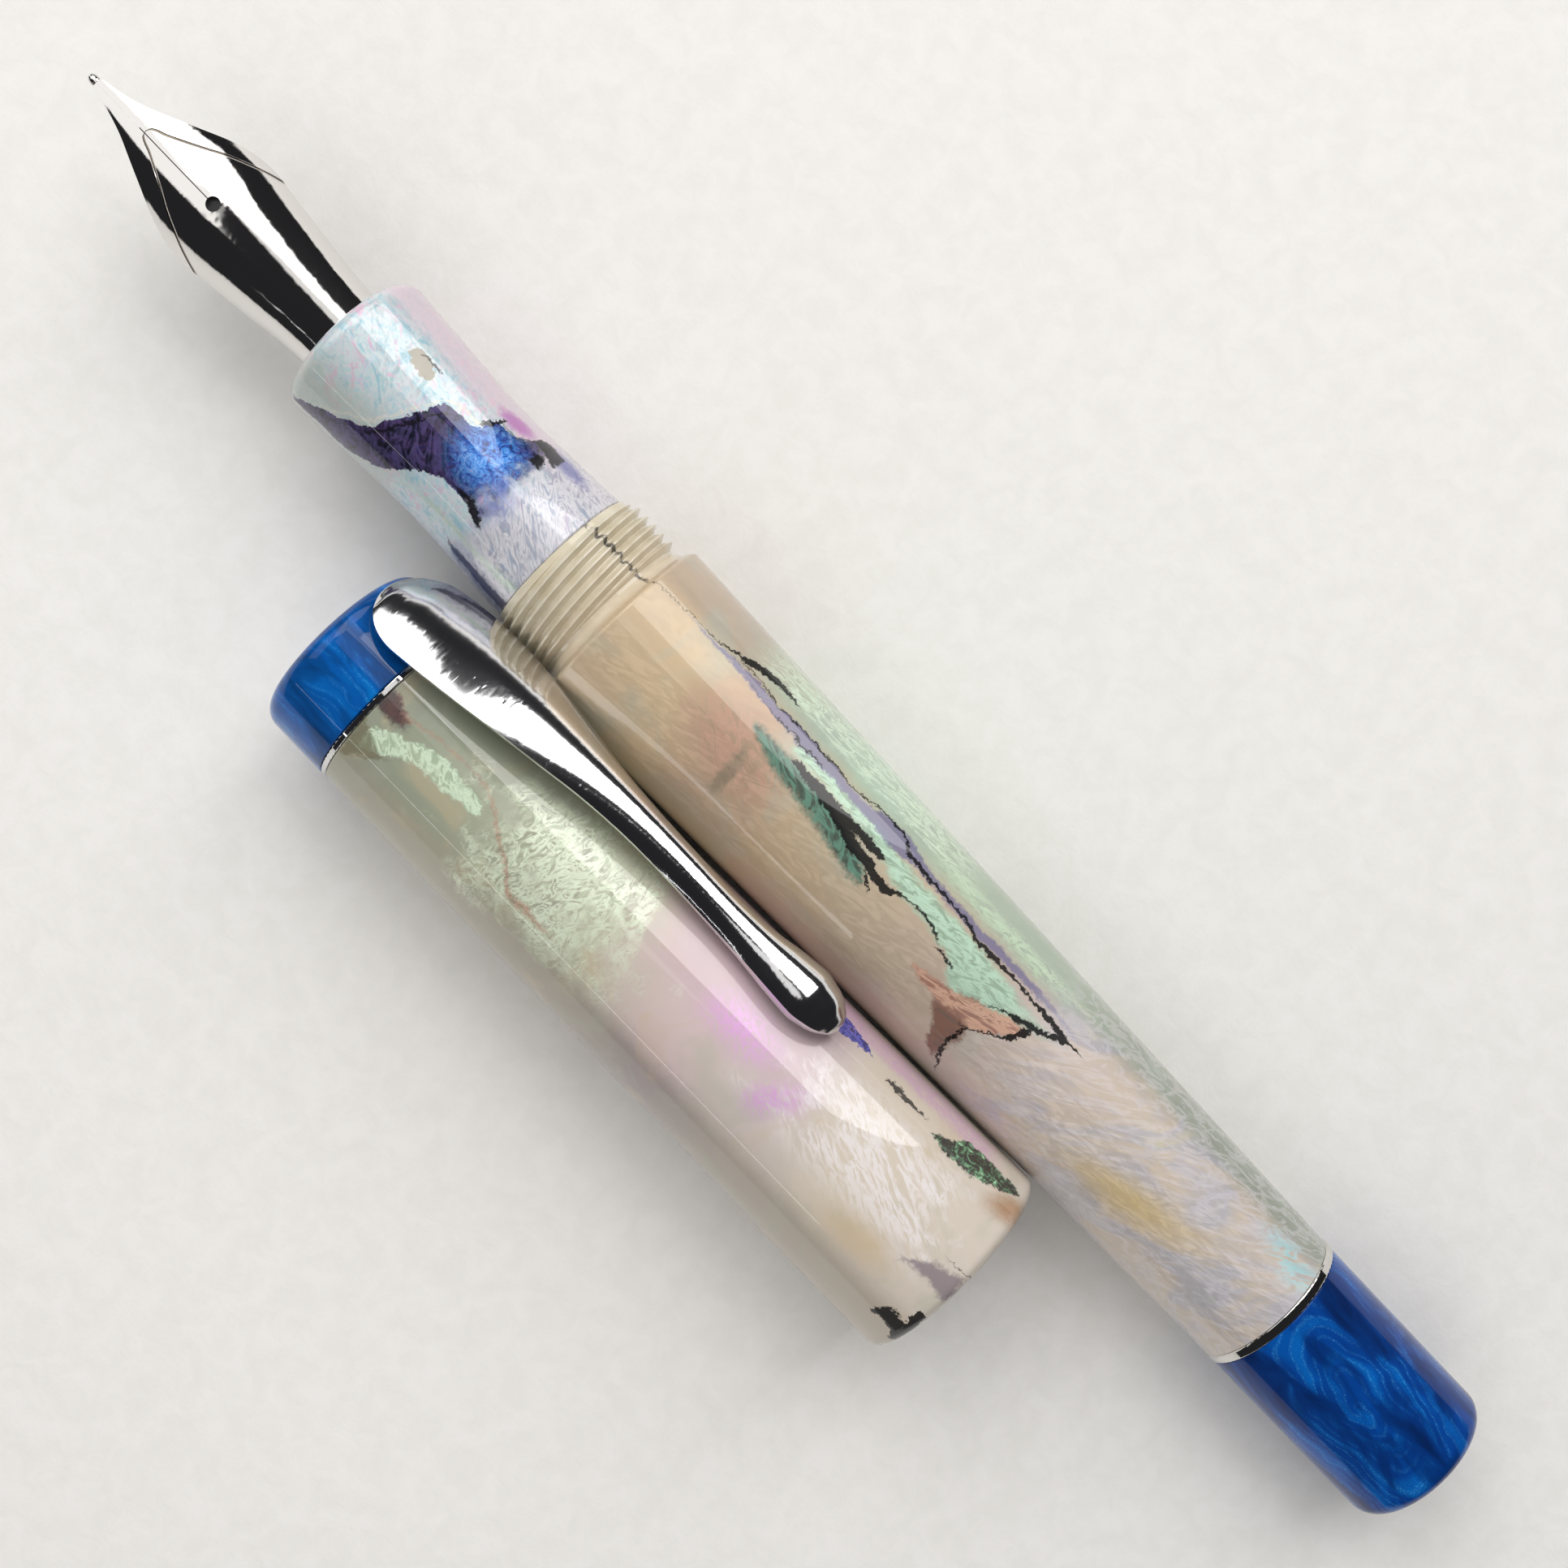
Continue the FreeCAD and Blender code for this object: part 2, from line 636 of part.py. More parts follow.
def make_clip_ring():
    """Washer with an upright tongue that carries the clip."""
    start = FINIAL_LENGTH
    end = start + CLIP_RING_THICKNESS
    outer = cap_radius(start) - 0.02
    washer = turned([
        (start, CAP_TENON_R + 0.05),
        (start, outer, 0.1),
        (end, outer, 0.1),
        (end, CAP_TENON_R + 0.05),
    ])
    height = TONGUE_TOP - TONGUE_ROOT
    tongue = Part.makeBox(
        CLIP_RING_THICKNESS, TONGUE_WIDTH, height, Vector(start, -TONGUE_WIDTH / 2, TONGUE_ROOT)
    )
    return washer.fuse(tongue).removeSplitter()


def clip_wire(x, half_width, underside, edge, thickness):
    """Cross-section of the clip at x: flat underside, rounded edges, domed top."""
    inset = min(CLIP_INSET_SHARE * edge, 0.6 * half_width)
    flat = half_width - inset
    side = half_width - 0.3 * inset
    side_z = underside + 0.4 * edge
    rim_z = underside + edge
    return Part.Wire([
        Part.makeLine(Vector(x, -flat, underside), Vector(x, flat, underside)),
        Part.Arc(
            Vector(x, flat, underside), Vector(x, side, side_z), Vector(x, half_width, rim_z)
        ).toShape(),
        Part.Arc(
            Vector(x, half_width, rim_z),
            Vector(x, 0, underside + thickness),
            Vector(x, -half_width, rim_z),
        ).toShape(),
        Part.Arc(
            Vector(x, -half_width, rim_z), Vector(x, -side, side_z), Vector(x, -flat, underside)
        ).toShape(),
    ])


def rounded_end(station, reach, drop):
    """Stations beyond the last one, closing in on the quarter ellipse of the clip's end."""
    x, half_width, underside, edge, thickness = station
    rows = []
    for turn in CLIP_END_TURNS:
        share = math.cos(math.radians(turn))
        along = math.sin(math.radians(turn))
        lift = (1 - share) * thickness * CLIP_END_LIFT - along * drop
        rows.append((x + reach * along, half_width * share, underside + lift, edge * share, thickness * share))
    return rows


def make_clip():
    middle = resampled(CLIP_STATIONS, CLIP_STEP)
    head = rounded_end(middle[0], -CLIP_HEAD_REACH, CLIP_HEAD_DROP)
    tip = rounded_end(middle[-1], CLIP_TIP_REACH, 0)
    return Part.makeLoft([clip_wire(*station) for station in head[::-1] + middle + tip], True)


def resting_tilt():
    """Tilt of the pen's axis when the barrel's shoulder and the blind cap's edge touch the table."""
    front_x = BARREL_FULL_X + BARREL_ROUND
    front_r = BARREL_R - BARREL_ROUND
    rear_x = BLIND_END_X - BLIND_ROUND
    rear_r = BLIND_END_R - BLIND_ROUND
    drop = front_r - rear_r
    run = rear_x - front_x
    gap = BLIND_ROUND - BARREL_ROUND
    tilt = math.acos(gap / math.hypot(drop, run)) - math.atan2(run, drop)
    height = front_x * math.sin(tilt) + front_r * math.cos(tilt) + BARREL_ROUND
    return tilt, height


def pen_placement():
    tilt, height = resting_tilt()
    turn = Rotation(Vector(0, 1, 0), math.degrees(tilt))
    return Placement(Vector(PEN_JOINT_X, PEN_AXIS_Y, height), turn)


def cap_placement():
    """The cap lies on its tapered side, turned about its axis so that the clip leans to the pen."""
    seat = FINIAL_LENGTH + CLIP_RING_THICKNESS
    tilt = math.atan2(CAP_MOUTH_R - CLIP_SEAT_R, CAP_LENGTH - seat)
    height = cap_radius(0) / math.cos(tilt)
    spin = Rotation(Vector(1, 0, 0), -CLIP_ANGLE)
    lean = Rotation(Vector(0, 1, 0), -math.degrees(tilt))
    yaw = Rotation(Vector(0, 0, 1), CAP_YAW)
    place = Vector(PEN_JOINT_X + CAP_TOP_FROM_PEN_JOINT, PEN_AXIS_Y - CAP_TOP_OFFSET, height)
    return Placement(place, yaw.multiply(lean).multiply(spin))


def as_set(shape):
    """The nib and feed sit in their housing turned and skewed a little from the pen's axis."""
    turned_shape = shape.copy()
    turned_shape.rotate(Vector(0, 0, 0), Vector(1, 0, 0), NIB_ROLL)
    turned_shape.rotate(Vector(NIB_YAW_X, 0, 0), Vector(0, 0, 1), NIB_YAW)
    return turned_shape


def make_parts():
    nib = make_nib()
    pen_parts = {
        "barrel": make_barrel(),
        "section_oring": make_section_oring(),
        "section": make_section(),
        "nib_housing": make_nib_housing(),
        "nib": as_set(nib),
        "nib_tip_left": as_set(make_tip_half(1, nib)),
        "nib_tip_right": as_set(make_tip_half(-1, nib)),
        "feed": as_set(make_feed()),
        "converter_mouth": make_converter_mouth(),
        "converter_tube": make_converter_tube(),
        "converter_collar": make_converter_collar(),
        "converter_guide": make_converter_guide(),
        "converter_seal": make_converter_seal(),
        "converter_rod": make_converter_rod(),
        "converter_knob": make_converter_knob(),
        "blind_cap_ring": make_blind_cap_ring(),
        "blind_cap": make_blind_cap(),
    }
    cap_parts = {
        "cap_body": make_cap_body(),
        "clip_ring": make_clip_ring(),
        "clip": make_clip(),
        "cap_finial": make_cap_finial(),
    }
    return pen_parts, cap_parts


def export(parts, placement):
    for name, shape in parts.items():
        placed = shape.Solids[0].transformed(placement.toMatrix(), True)
        placed.exportStep("parts/" + name + ".step")
        box = placed.optimalBoundingBox(False, False)
        print(
            f"{name:18s} solids {len(shape.Solids)} valid {placed.isValid()}"
            f" volume {placed.Volume:9.2f} x {box.XMin:7.2f} {box.XMax:7.2f}"
            f" y {box.YMin:7.2f} {box.YMax:7.2f} z {box.ZMin:6.2f} {box.ZMax:6.2f}"
        )


os.makedirs("parts", exist_ok=True)
pen_shapes, cap_shapes = make_parts()
export(pen_shapes, pen_placement())
export(cap_shapes, cap_placement())
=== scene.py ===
import bpy
import json
import math
from mathutils import Matrix, Vector

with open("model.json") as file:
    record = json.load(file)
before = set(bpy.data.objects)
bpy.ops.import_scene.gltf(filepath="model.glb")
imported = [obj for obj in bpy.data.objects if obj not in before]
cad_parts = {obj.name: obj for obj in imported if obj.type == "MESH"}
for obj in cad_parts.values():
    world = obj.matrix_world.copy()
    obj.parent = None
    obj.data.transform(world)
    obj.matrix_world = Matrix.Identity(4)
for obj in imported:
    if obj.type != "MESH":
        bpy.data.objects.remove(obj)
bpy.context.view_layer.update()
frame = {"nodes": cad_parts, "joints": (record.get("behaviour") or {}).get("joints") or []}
MM = 0.001

# ---------------------------------------------------------------- dimensions, millimetres

FINIAL_LENGTH = 5.8
ARC_R = 6.5             # radius at which the arc round an axis is measured
NIB_YAW = 0.0096        # radians, about the point NIB_YAW_X on the pen's axis
NIB_YAW_X = -15.7


# ---------------------------------------------------------------- local frames from the joints

def joint(name):
    return next(j for j in frame["joints"] if j["name"] == name)


def axis_frame(origin, direction):
    """Matrix with its X axis along direction and its Z axis as near to up as that allows."""
    x = Vector(direction).normalized()
    y = Vector((0, 0, 1)).cross(x).normalized()
    z = x.cross(y)
    turn = Matrix((x, y, z)).transposed().to_4x4()
    return Matrix.Translation(origin) @ turn


pen_axis = -Vector(joint("section_screw")["axis"])
PEN = axis_frame(Vector(joint("section_screw")["pos_m"]), pen_axis)
cap_axis = -Vector(joint("finial_screw")["axis"]).normalized()
cap_top = Vector(joint("finial_screw")["pos_m"]) - cap_axis * FINIAL_LENGTH * MM
CAP = axis_frame(cap_top, cap_axis)


# ---------------------------------------------------------------- shader building

MIX_COLOR_A, MIX_COLOR_B, MIX_COLOR_RESULT = 6, 7, 2
SHARP_ANGLE = math.radians(30)
PEARL_METAL = 0.25      # how metallic the pearl is where it glints
PEARL_SPECULAR = 0.25
PEARL_IOR = 1.45
BLUE_SPECULAR = 0.08
BLUE_COAT_IOR = 1.36
BARREL_COAT_IOR = 1.4
EDDY_FLATNESS = 3.2     # of the swirl in the blue resin, round the axis against along it
EDDY_TWIST = 1.8
COAT_ROUGHNESS = 0.02   # roughness of the clear coat
GRAIN_DEPTH = 0.000006
PLATING_DEPTH = 0.0000005
ENGRAVING_DEPTH = 0.00012
PAPER_DEPTH = 0.00006
PAPER_SPECULAR = 0.2

def srgb(r, g, b):
    """Linear colour from the 0-255 values of a colour picker."""
    def channel(c):
        c /= 255
        return c / 12.92 if c <= 0.04045 else ((c + 0.055) / 1.055) ** 2.4
    return (channel(r), channel(g), channel(b), 1)


class Shader:
    """One material's node tree, with a method per kind of node; values may be numbers or sockets."""

    def __init__(self, name):
        self.material = bpy.data.materials.new(name)
        self.material.use_nodes = True
        self.tree = self.material.node_tree
        self.bsdf = self.tree.nodes["Principled BSDF"]

    def feed(self, socket, value):
        if isinstance(value, bpy.types.NodeSocket):
            self.tree.links.new(value, socket)
        else:
            socket.default_value = value

    def add(self, kind, *values, **settings):
        node = self.tree.nodes.new("ShaderNode" + kind)
        for key, value in settings.items():
            setattr(node, key, value)
        for socket, value in zip(node.inputs, values):
            if value is not None:
                self.feed(socket, value)
        return node

    def math(self, operation, a, b=0.0, c=0.0):
        return self.add("Math", a, b, c, operation=operation).outputs[0]

    def vector(self, operation, a, b):
        node = self.add("VectorMath", a, b, operation=operation)
        return node.outputs["Value" if operation == "DOT_PRODUCT" else "Vector"]

    def mix(self, factor, a, b):
        """Colour a turning into colour b as factor goes from 0 to 1."""
        node = self.tree.nodes.new("ShaderNodeMix")
        node.data_type = "RGBA"
        self.feed(node.inputs[0], factor)
        self.feed(node.inputs[MIX_COLOR_A], a)
        self.feed(node.inputs[MIX_COLOR_B], b)
        return node.outputs[MIX_COLOR_RESULT]

    def lay(self, color, tone, strength, *masks):
        """color with tone laid over it where every mask is full, at the given strength."""
        factor = strength
        for mask in masks:
            factor = self.math("MULTIPLY", mask, factor)
        return self.mix(factor, color, tone)

    def join(self, masks):
        """One mask that is full wherever any of the masks is."""
        joined = masks[0]
        for mask in masks[1:]:
            joined = self.math("MAXIMUM", joined, mask)
        return joined

    def bump(self, height, distance):
        """Surface normal of a relief that is distance metres deep for a height of 1."""
        node = self.tree.nodes.new("ShaderNodeBump")
        node.inputs["Distance"].default_value = distance
        self.feed(node.inputs["Height"], height)
        return node.outputs[0]

    def span(self, value, low, high):
        """Smooth step of value, 0 at low and 1 at high."""
        node = self.tree.nodes.new("ShaderNodeMapRange")
        node.interpolation_type = "SMOOTHSTEP"
        for socket, item in zip(node.inputs, (value, low, high)):
            self.feed(socket, item)
        return node.outputs[0]

    def noise(self, where, scale, detail=3.0, roughness=0.55, distortion=0.0, output=0):
        node = self.tree.nodes.new("ShaderNodeTexNoise")
        for name, item in (("Vector", where), ("Scale", scale), ("Detail", detail),
                           ("Roughness", roughness), ("Distortion", distortion)):
            self.feed(node.inputs[name], item)
        return node.outputs[output]

    def stretched(self, where, scale, turn=0.0):
        """where turned about Z by degrees, then scaled along each axis."""
        turned_where = self.add("Mapping", where, None, (0, 0, math.radians(turn))).outputs[0]
        return self.vector("MULTIPLY", turned_where, scale)

    def ramp(self, value, stops):
        """Colour along value, which runs over the positions of the stops."""
        low, high = stops[0][0], stops[-1][0]
        node = self.tree.nodes.new("ShaderNodeValToRGB")
        elements = node.color_ramp.elements
        for i, (place, color) in enumerate(stops):
            share = (place - low) / (high - low)
            item = elements[i] if i < 2 else elements.new(share)
            item.position = share
            item.color = color
        node.color_ramp.interpolation = "EASE"
        self.feed(node.inputs[0], self.math("DIVIDE", self.math("SUBTRACT", value, low), high - low))
        return node.outputs[0]

    def path(self, value, points):
        """Height of a smooth curve through (value, height) points."""
        x0, x1 = points[0][0], points[-1][0]
        y0 = min(p[1] for p in points)
        y1 = max(p[1] for p in points) + 1e-3
        node = self.tree.nodes.new("ShaderNodeFloatCurve")
        marks = node.mapping.curves[0].points
        for i, (x, y) in enumerate(points):
            place = ((x - x0) / (x1 - x0), (y - y0) / (y1 - y0))
            if i == 0:
                marks[0].location = place
            elif i == len(points) - 1:
                marks[len(marks) - 1].location = place
            else:
                marks.new(*place)
        for mark in marks:
            mark.handle_type = "AUTO_CLAMPED"
        node.mapping.update()
        share = self.math("DIVIDE", self.math("SUBTRACT", value, x0), x1 - x0)
        self.feed(node.inputs["Value"], share)
        return self.math("MULTIPLY_ADD", node.outputs[0], y1 - y0, y0)

    def inside(self, x, low, high, soft):
        return self.math("MULTIPLY", self.span(x, low, low + soft), self.span(x, high, high - soft))

    def vein(self, x, a, points, soft=0.12):
        """Mask of a streak through (x, arc, half width) points; it ends where its width does."""
        centre = self.path(x, [(p[0], p[1]) for p in points])
        width = self.path(x, [(p[0], p[2]) for p in points])
        off = self.math("ABSOLUTE", self.math("SUBTRACT", a, centre))
        band = self.span(self.math("SUBTRACT", width, off), 0, soft)
        return self.math("MULTIPLY", band, self.inside(x, points[0][0], points[-1][0], soft))

    def between(self, x, a, upper, lower, soft=0.15):
        """Mask of the field between two curves of (x, arc) points."""
        under = self.span(self.math("SUBTRACT", self.path(x, upper), a), 0, soft)
        over = self.span(self.math("SUBTRACT", a, self.path(x, lower)), 0, soft)
        ends = self.inside(x, upper[0][0], upper[-1][0], soft)
        return self.math("MULTIPLY", self.math("MULTIPLY", under, over), ends)

    def patch(self, x, a, centre, size, turn=0.0, soft=0.5):
        """Mask of an ellipse round centre, full inside and fading over the soft share of its radius."""
        c, s = math.cos(math.radians(turn)), math.sin(math.radians(turn))
        dx = self.math("SUBTRACT", x, centre[0])
        da = self.math("SUBTRACT", a, centre[1])
        along = self.math("MULTIPLY_ADD", dx, c / size[0], self.math("MULTIPLY", da, s / size[0]))
        across = self.math("MULTIPLY_ADD", da, c / size[1], self.math("MULTIPLY", dx, -s / size[1]))
        square = self.math("MULTIPLY_ADD", along, along, self.math("MULTIPLY", across, across))
        return self.span(self.math("SQRT", square), 1, 1 - soft)

    def local(self, place):
        """Position in the local frame in millimetres: vector, x, and arc round the axis from the top."""
        node = self.tree.nodes.new("ShaderNodeTexCoord")
        origin = tuple(place.translation)
        here = self.vector("SUBTRACT", node.outputs["Object"], origin)
        axes = [tuple(v / MM for v in place.col[i][:3]) for i in range(3)]
        x, y, z = (self.vector("DOT_PRODUCT", here, axis) for axis in axes)
        joined = self.add("CombineXYZ", x, y, z).outputs[0]
        arc = self.math("MULTIPLY", self.math("ARCTAN2", y, z), ARC_R)
        return joined, x, arc

    def surface(self, **values):
        for name, value in values.items():
            self.feed(self.bsdf.inputs[name.replace("_", " ")], value)


def ridges(s, where, scale, sharp=0.12, detail=4.0, distortion=1.2):
    """Thin bright creases, as on crushed shell."""
    n = s.noise(where, scale, detail, 0.6, distortion)
    off = s.math("ABSOLUTE", s.math("SUBTRACT", n, 0.5))
    return s.span(off, sharp, 0)


def polish(s, color, sheen, rough=0.5, coat_ior=1.5):
    """Pearl resin under a clear polish; sheen is where the pearl glints."""
    s.surface(Base_Color=color, Metallic=s.math("MULTIPLY", sheen, PEARL_METAL), Roughness=rough,
              Coat_Weight=1.0, Coat_Roughness=COAT_ROUGHNESS, Coat_IOR=coat_ior, IOR=PEARL_IOR)
    s.bsdf.inputs["Specular IOR Level"].default_value = PEARL_SPECULAR


# ---------------------------------------------------------------- the pearl resins

INK = srgb(12, 12, 16)


def base_fields(s, place):
    """Local position vector and x, then x and arc warped by coarse and fine noise."""
    where, x, a = s.local(place)
    coarse = s.noise(where, 0.55, 3.0, 0.6, 0.0, 1)
    fine = s.noise(where, 3.0, 3.0, 0.6, 0.0, 1)
    shift = s.add("SeparateXYZ", s.vector("SUBTRACT", coarse, (0.5, 0.5, 0.5))).outputs
    jitter = s.add("SeparateXYZ", s.vector("SUBTRACT", fine, (0.5, 0.5, 0.5))).outputs
    wx = s.math("MULTIPLY_ADD", jitter[0], 0.9, s.math("MULTIPLY_ADD", shift[0], 0.9, x))
    wa = s.math("MULTIPLY_ADD", jitter[1], 0.7, s.math("MULTIPLY_ADD", shift[1], 0.8, a))
    return where, x, wx, wa


def barrel_resin():
    s = Shader("pearl_resin_barrel")
    where, x, wx, wa = base_fields(s, PEN)
    soft_x = s.math("MULTIPLY_ADD", s.noise(where, 0.25, 2.0), 6.0, s.math("SUBTRACT", x, 3.0))

    lower = s.ramp(soft_x, [
        (-1, srgb(204, 192, 168)), (5, srgb(208, 186, 156)), (12, srgb(212, 188, 154)),
        (18, srgb(200, 170, 144)), (24, srgb(200, 178, 148)), (32, srgb(196, 178, 154)),
        (38, srgb(192, 174, 156)), (43, srgb(198, 182, 172)), (50, srgb(210, 198, 184)),
        (57, srgb(220, 206, 176)), (63, srgb(204, 200, 186)), (71, srgb(196, 196, 186))])
    upper = s.ramp(soft_x, [
        (-1, srgb(182, 176, 158)), (5, srgb(196, 176, 154)), (13, srgb(190, 174, 156)),
        (18, srgb(186, 196, 176)), (26, srgb(184, 204, 184)), (34, srgb(178, 192, 172)),
        (44, srgb(170, 184, 166)), (52, srgb(158, 164, 150)), (60, srgb(150, 156, 142)),
        (71, srgb(154, 160, 148))])
    color = s.mix(s.span(wa, 3.0, 5.0), lower, upper)

    # back of the barrel: plain cream with a slow drift of colour
    cloud = s.noise(where, 0.16, 3.0, 0.5, 0.6)
    color = s.lay(color, srgb(176, 190, 180), 0.35, s.span(cloud, 0.45, 0.7))

    # salmon and teal crushed shell ahead of the middle
    crush = ridges(s, s.stretched(where, (0.45, 1.0, 1.0), 24), 1.1, 0.14, 4.0, 1.2)
    salmon = s.patch(wx, wa, (17.5, -0.2), (6.5, 3.4), -12, 0.8)
    color = s.lay(color, srgb(160, 138, 120), 0.55, salmon)
    color = s.lay(color, srgb(208, 166, 146), 0.75, salmon, crush)
    teal_line = s.vein(wx, wa, [(17.0, 1.9, 0.3), (18.2, 1.6, 0.7), (20, 1.3, 0.9), (24, 1.0, 1.1),
                                (28, 0.2, 1.0), (30.4, -0.6, 0.2)], 0.7)
    color = s.lay(color, srgb(46, 74, 66), 0.9, teal_line)
    color = s.lay(color, srgb(124, 180, 156), 0.5, teal_line, crush)
    dark_drop = s.patch(wx, wa, (18.4, -1.6), (0.7, 2.6), 8, 0.7)
    color = s.lay(color, srgb(112, 118, 98), 0.5, dark_drop)

    # mint shell between the two black veins, and along the top, with a painted highlight on the pearl fibres
    # of the flank that faces the window
    mint = s.between(wx, wa, [(20, 3.4), (28, 3.6), (31, 3.0), (37, 2.9), (42, 2.4), (46, 2.1), (48, 2.2)],
                     [(20, 2.0), (28, 1.8), (31, 1.0), (37, 0.2), (40, -1.6), (43, -0.2), (48, 2.0)], 0.7)
    color = s.lay(color, srgb(142, 178, 156), 0.8, mint)
    grain = ridges(s, s.stretched(where, (0.3, 1.2, 1.2), -14), 1.4, 0.13, 4.0, 1.0)
    color = s.lay(color, srgb(206, 236, 212), 0.7, mint, grain)
    lilac = s.vein(wx, wa, [(9, 3.5, 0.1), (16, 3.6, 0.5), (22, 3.4, 0.6), (26, 3.4, 0.5), (29, 3.6, 0.9),
                            (33, 3.4, 0.5), (39, 3.3, 0.5), (44, 3.3, 0.4), (48.5, 2.9, 0.1)], 0.3)
    color = s.lay(color, srgb(120, 116, 150), 0.85, lilac)
    # painted highlight: the pearl fibres are lightened along the band of the upper flank that faces the
    # window
    glints = ridges(s, s.stretched(where, (0.35, 1.6, 1.6), -8), 1.2, 0.1)
    painted_highlight_band = s.math("MULTIPLY", s.span(wa, 4.6, 5.6), s.inside(wx, 13, 37, 5))
    color = s.lay(color, srgb(226, 244, 220), 0.8, painted_highlight_band, glints)
    shell = s.math("MULTIPLY", s.inside(wx, 30, 49, 6), s.inside(wa, 3.6, 6.4, 1.4))
    color = s.lay(color, srgb(214, 236, 206), 0.8, shell, grain)

    # lavender field with slanting fibres towards the blind cap
    field = s.span(wx, 42, 48)
    fibre = ridges(s, s.stretched(where, (0.16, 1.1, 1.1), -32), 0.9, 0.09, 4.0, 0.7)
    drift = s.noise(s.stretched(where, (0.25, 0.6, 0.6), -30), 0.42, 4.0, 0.55, 0.8)
    tint = s.ramp(drift, [(0.3, srgb(198, 190, 196)), (0.45, srgb(214, 198, 184)),
                          (0.58, srgb(190, 186, 196)), (0.72, srgb(216, 206, 184))])
    color = s.lay(color, tint, 0.75, field, s.span(wa, 6.0, 4.2))
    color = s.lay(color, srgb(232, 226, 232), 0.34, field, fibre)
    yellow = s.patch(wx, wa, (58.0, -2.2), (8.0, 2.4), 14, 0.95)
    color = s.lay(color, srgb(214, 190, 138), 0.85, yellow)
    cyan = s.patch(wx, wa, (68.5, 3.6), (4.2, 2.2), -10, 0.9)
    color = s.lay(color, srgb(176, 222, 226), 0.9, cyan, fibre)
    wave = s.vein(wx, wa, [(46, 3.6, 0.05), (50.5, 4.3, 0.14), (56, 6.0, 0.2), (62, 5.9, 0.2),
                           (68, 5.2, 0.1)], 0.5)
    color = s.lay(color, srgb(118, 120, 112), 0.5, wave)

    # brown fold and the shaded cream in front of it
    fold = s.between(wx, wa, [(36, -1.4), (39, -0.8), (42, 0.4), (44.3, 0.9), (45, 0.8)],
                     [(36, -2.0), (39, -2.4), (41.6, -2.2), (43.5, -0.8), (45, 0.6)], 0.4)
    color = s.lay(color, srgb(150, 100, 86), 0.85, fold)
    color = s.lay(color, srgb(226, 184, 160), 0.9, fold, grain)
    shade = s.between(wx, wa, [(38.2, -2.2), (39.2, -1.8), (41.2, -1.6), (42.2, -2.4)],
                      [(38.2, -2.4), (39.6, -3.6), (41.1, -5.8), (42.2, -6.6)], 0.7)
    color = s.lay(color, srgb(98, 66, 58), 0.85, shade)
    color = s.lay(color, srgb(166, 118, 100), 0.5, shade, grain)

    # black veins
    veins = [
        s.vein(wx, wa, [(2.0, 3.45, 0.12), (6.2, 3.5, 0.08), (10.4, 3.75, 0.09), (13.1, 4.2, 0.16),
                        (15.2, 4.85, 0.34), (17, 5.2, 0.26), (19.0, 5.1, 0.05)]),
        s.vein(wx, wa, [(10.4, 3.75, 0.05), (15.3, 4.15, 0.1), (19.6, 3.85, 0.12), (25, 3.85, 0.12),
                        (28.2, 4.3, 0.14), (31.4, 3.3, 0.22), (36.3, 3.2, 0.18), (38.5, 2.7, 0.26),
                        (42.3, 2.68, 0.16), (45.5, 2.55, 0.3), (47, 2.5, 0.24), (48.7, 2.45, 0.03)]),
        s.vein(wx, wa, [(14.0, 3.55, 0.03), (19.0, 3.2, 0.1), (21.6, 3.1, 0.12), (22.6, 3.1, 0.04)], 0.1),
        s.vein(wx, wa, [(20.6, 1.9, 0.12), (22.5, 1.85, 0.34), (25.6, 1.5, 0.46), (27.6, 1.1, 0.5),
                        (29.5, 0.75, 0.46), (31.0, 0.55, 0.44), (32.2, 1.0, 0.18), (33.2, 1.2, 0.12),
                        (35.2, 1.0, 0.16), (36.4, 0.65, 0.06)]),
        s.vein(wx, wa, [(20.4, 2.1, 0.03), (23.0, 2.0, 0.3), (27.0, 1.95, 0.36), (29.2, 1.85, 0.3),
                        (29.9, 1.8, 0.03)]),
        s.vein(wx, wa, [(29.2, 0.4, 0.1), (29.9, 0.0, 0.16), (30.9, -0.8, 0.03)]),
        s.vein(wx, wa, [(36.0, 0.3, 0.03), (37.2, 0.2, 0.14), (38.2, 0.05, 0.03)]),
        s.vein(wx, wa, [(41.4, 0.15, 0.1), (42.6, 0.7, 0.14), (44.0, 1.0, 0.3), (45.6, 1.5, 0.22),
                        (46.4, 2.1, 0.3), (47.2, 2.4, 0.2)]),
        s.vein(wx, wa, [(41.0, -2.35, 0.06), (41.9, -2.0, 0.14), (42.9, -1.2, 0.14), (43.9, -0.5, 0.24),
                        (44.4, 0.3, 0.45), (44.9, 0.9, 0.2)]),
        s.vein(wa, wx, [(-7.4, 43.0, 0.04), (-6.0, 42.3, 0.16), (-4.6, 41.8, 0.22), (-3.2, 41.5, 0.18),
                        (-2.0, 41.7, 0.14)]),
    ]
    color = s.lay(color, INK, 0.96, s.join(veins))

    # the threaded front is plain translucent cream
    thread = s.span(x, 5.9, 5.2)
    pale = s.mix(s.span(s.noise(where, 0.6), 0.35, 0.65), srgb(222, 214, 194), srgb(212, 202, 178))
    pale = s.lay(pale, srgb(214, 184, 156), 0.25, s.span(x, 1.0, 6.0))
    dots = s.math("MULTIPLY", s.vein(x, wa, [(-0.2, 3.3, 0.3), (6.4, 3.5, 0.26)], 0.2),
                  s.span(s.noise(where, 1.6), 0.34, 0.5))
    pale = s.lay(pale, srgb(40, 36, 32), 0.9, dots)
    color = s.mix(thread, color, pale)
    polish(s, color, s.math("MULTIPLY", s.math("SUBTRACT", 1.0, thread), grain), coat_ior=BARREL_COAT_IOR)
    return s.material


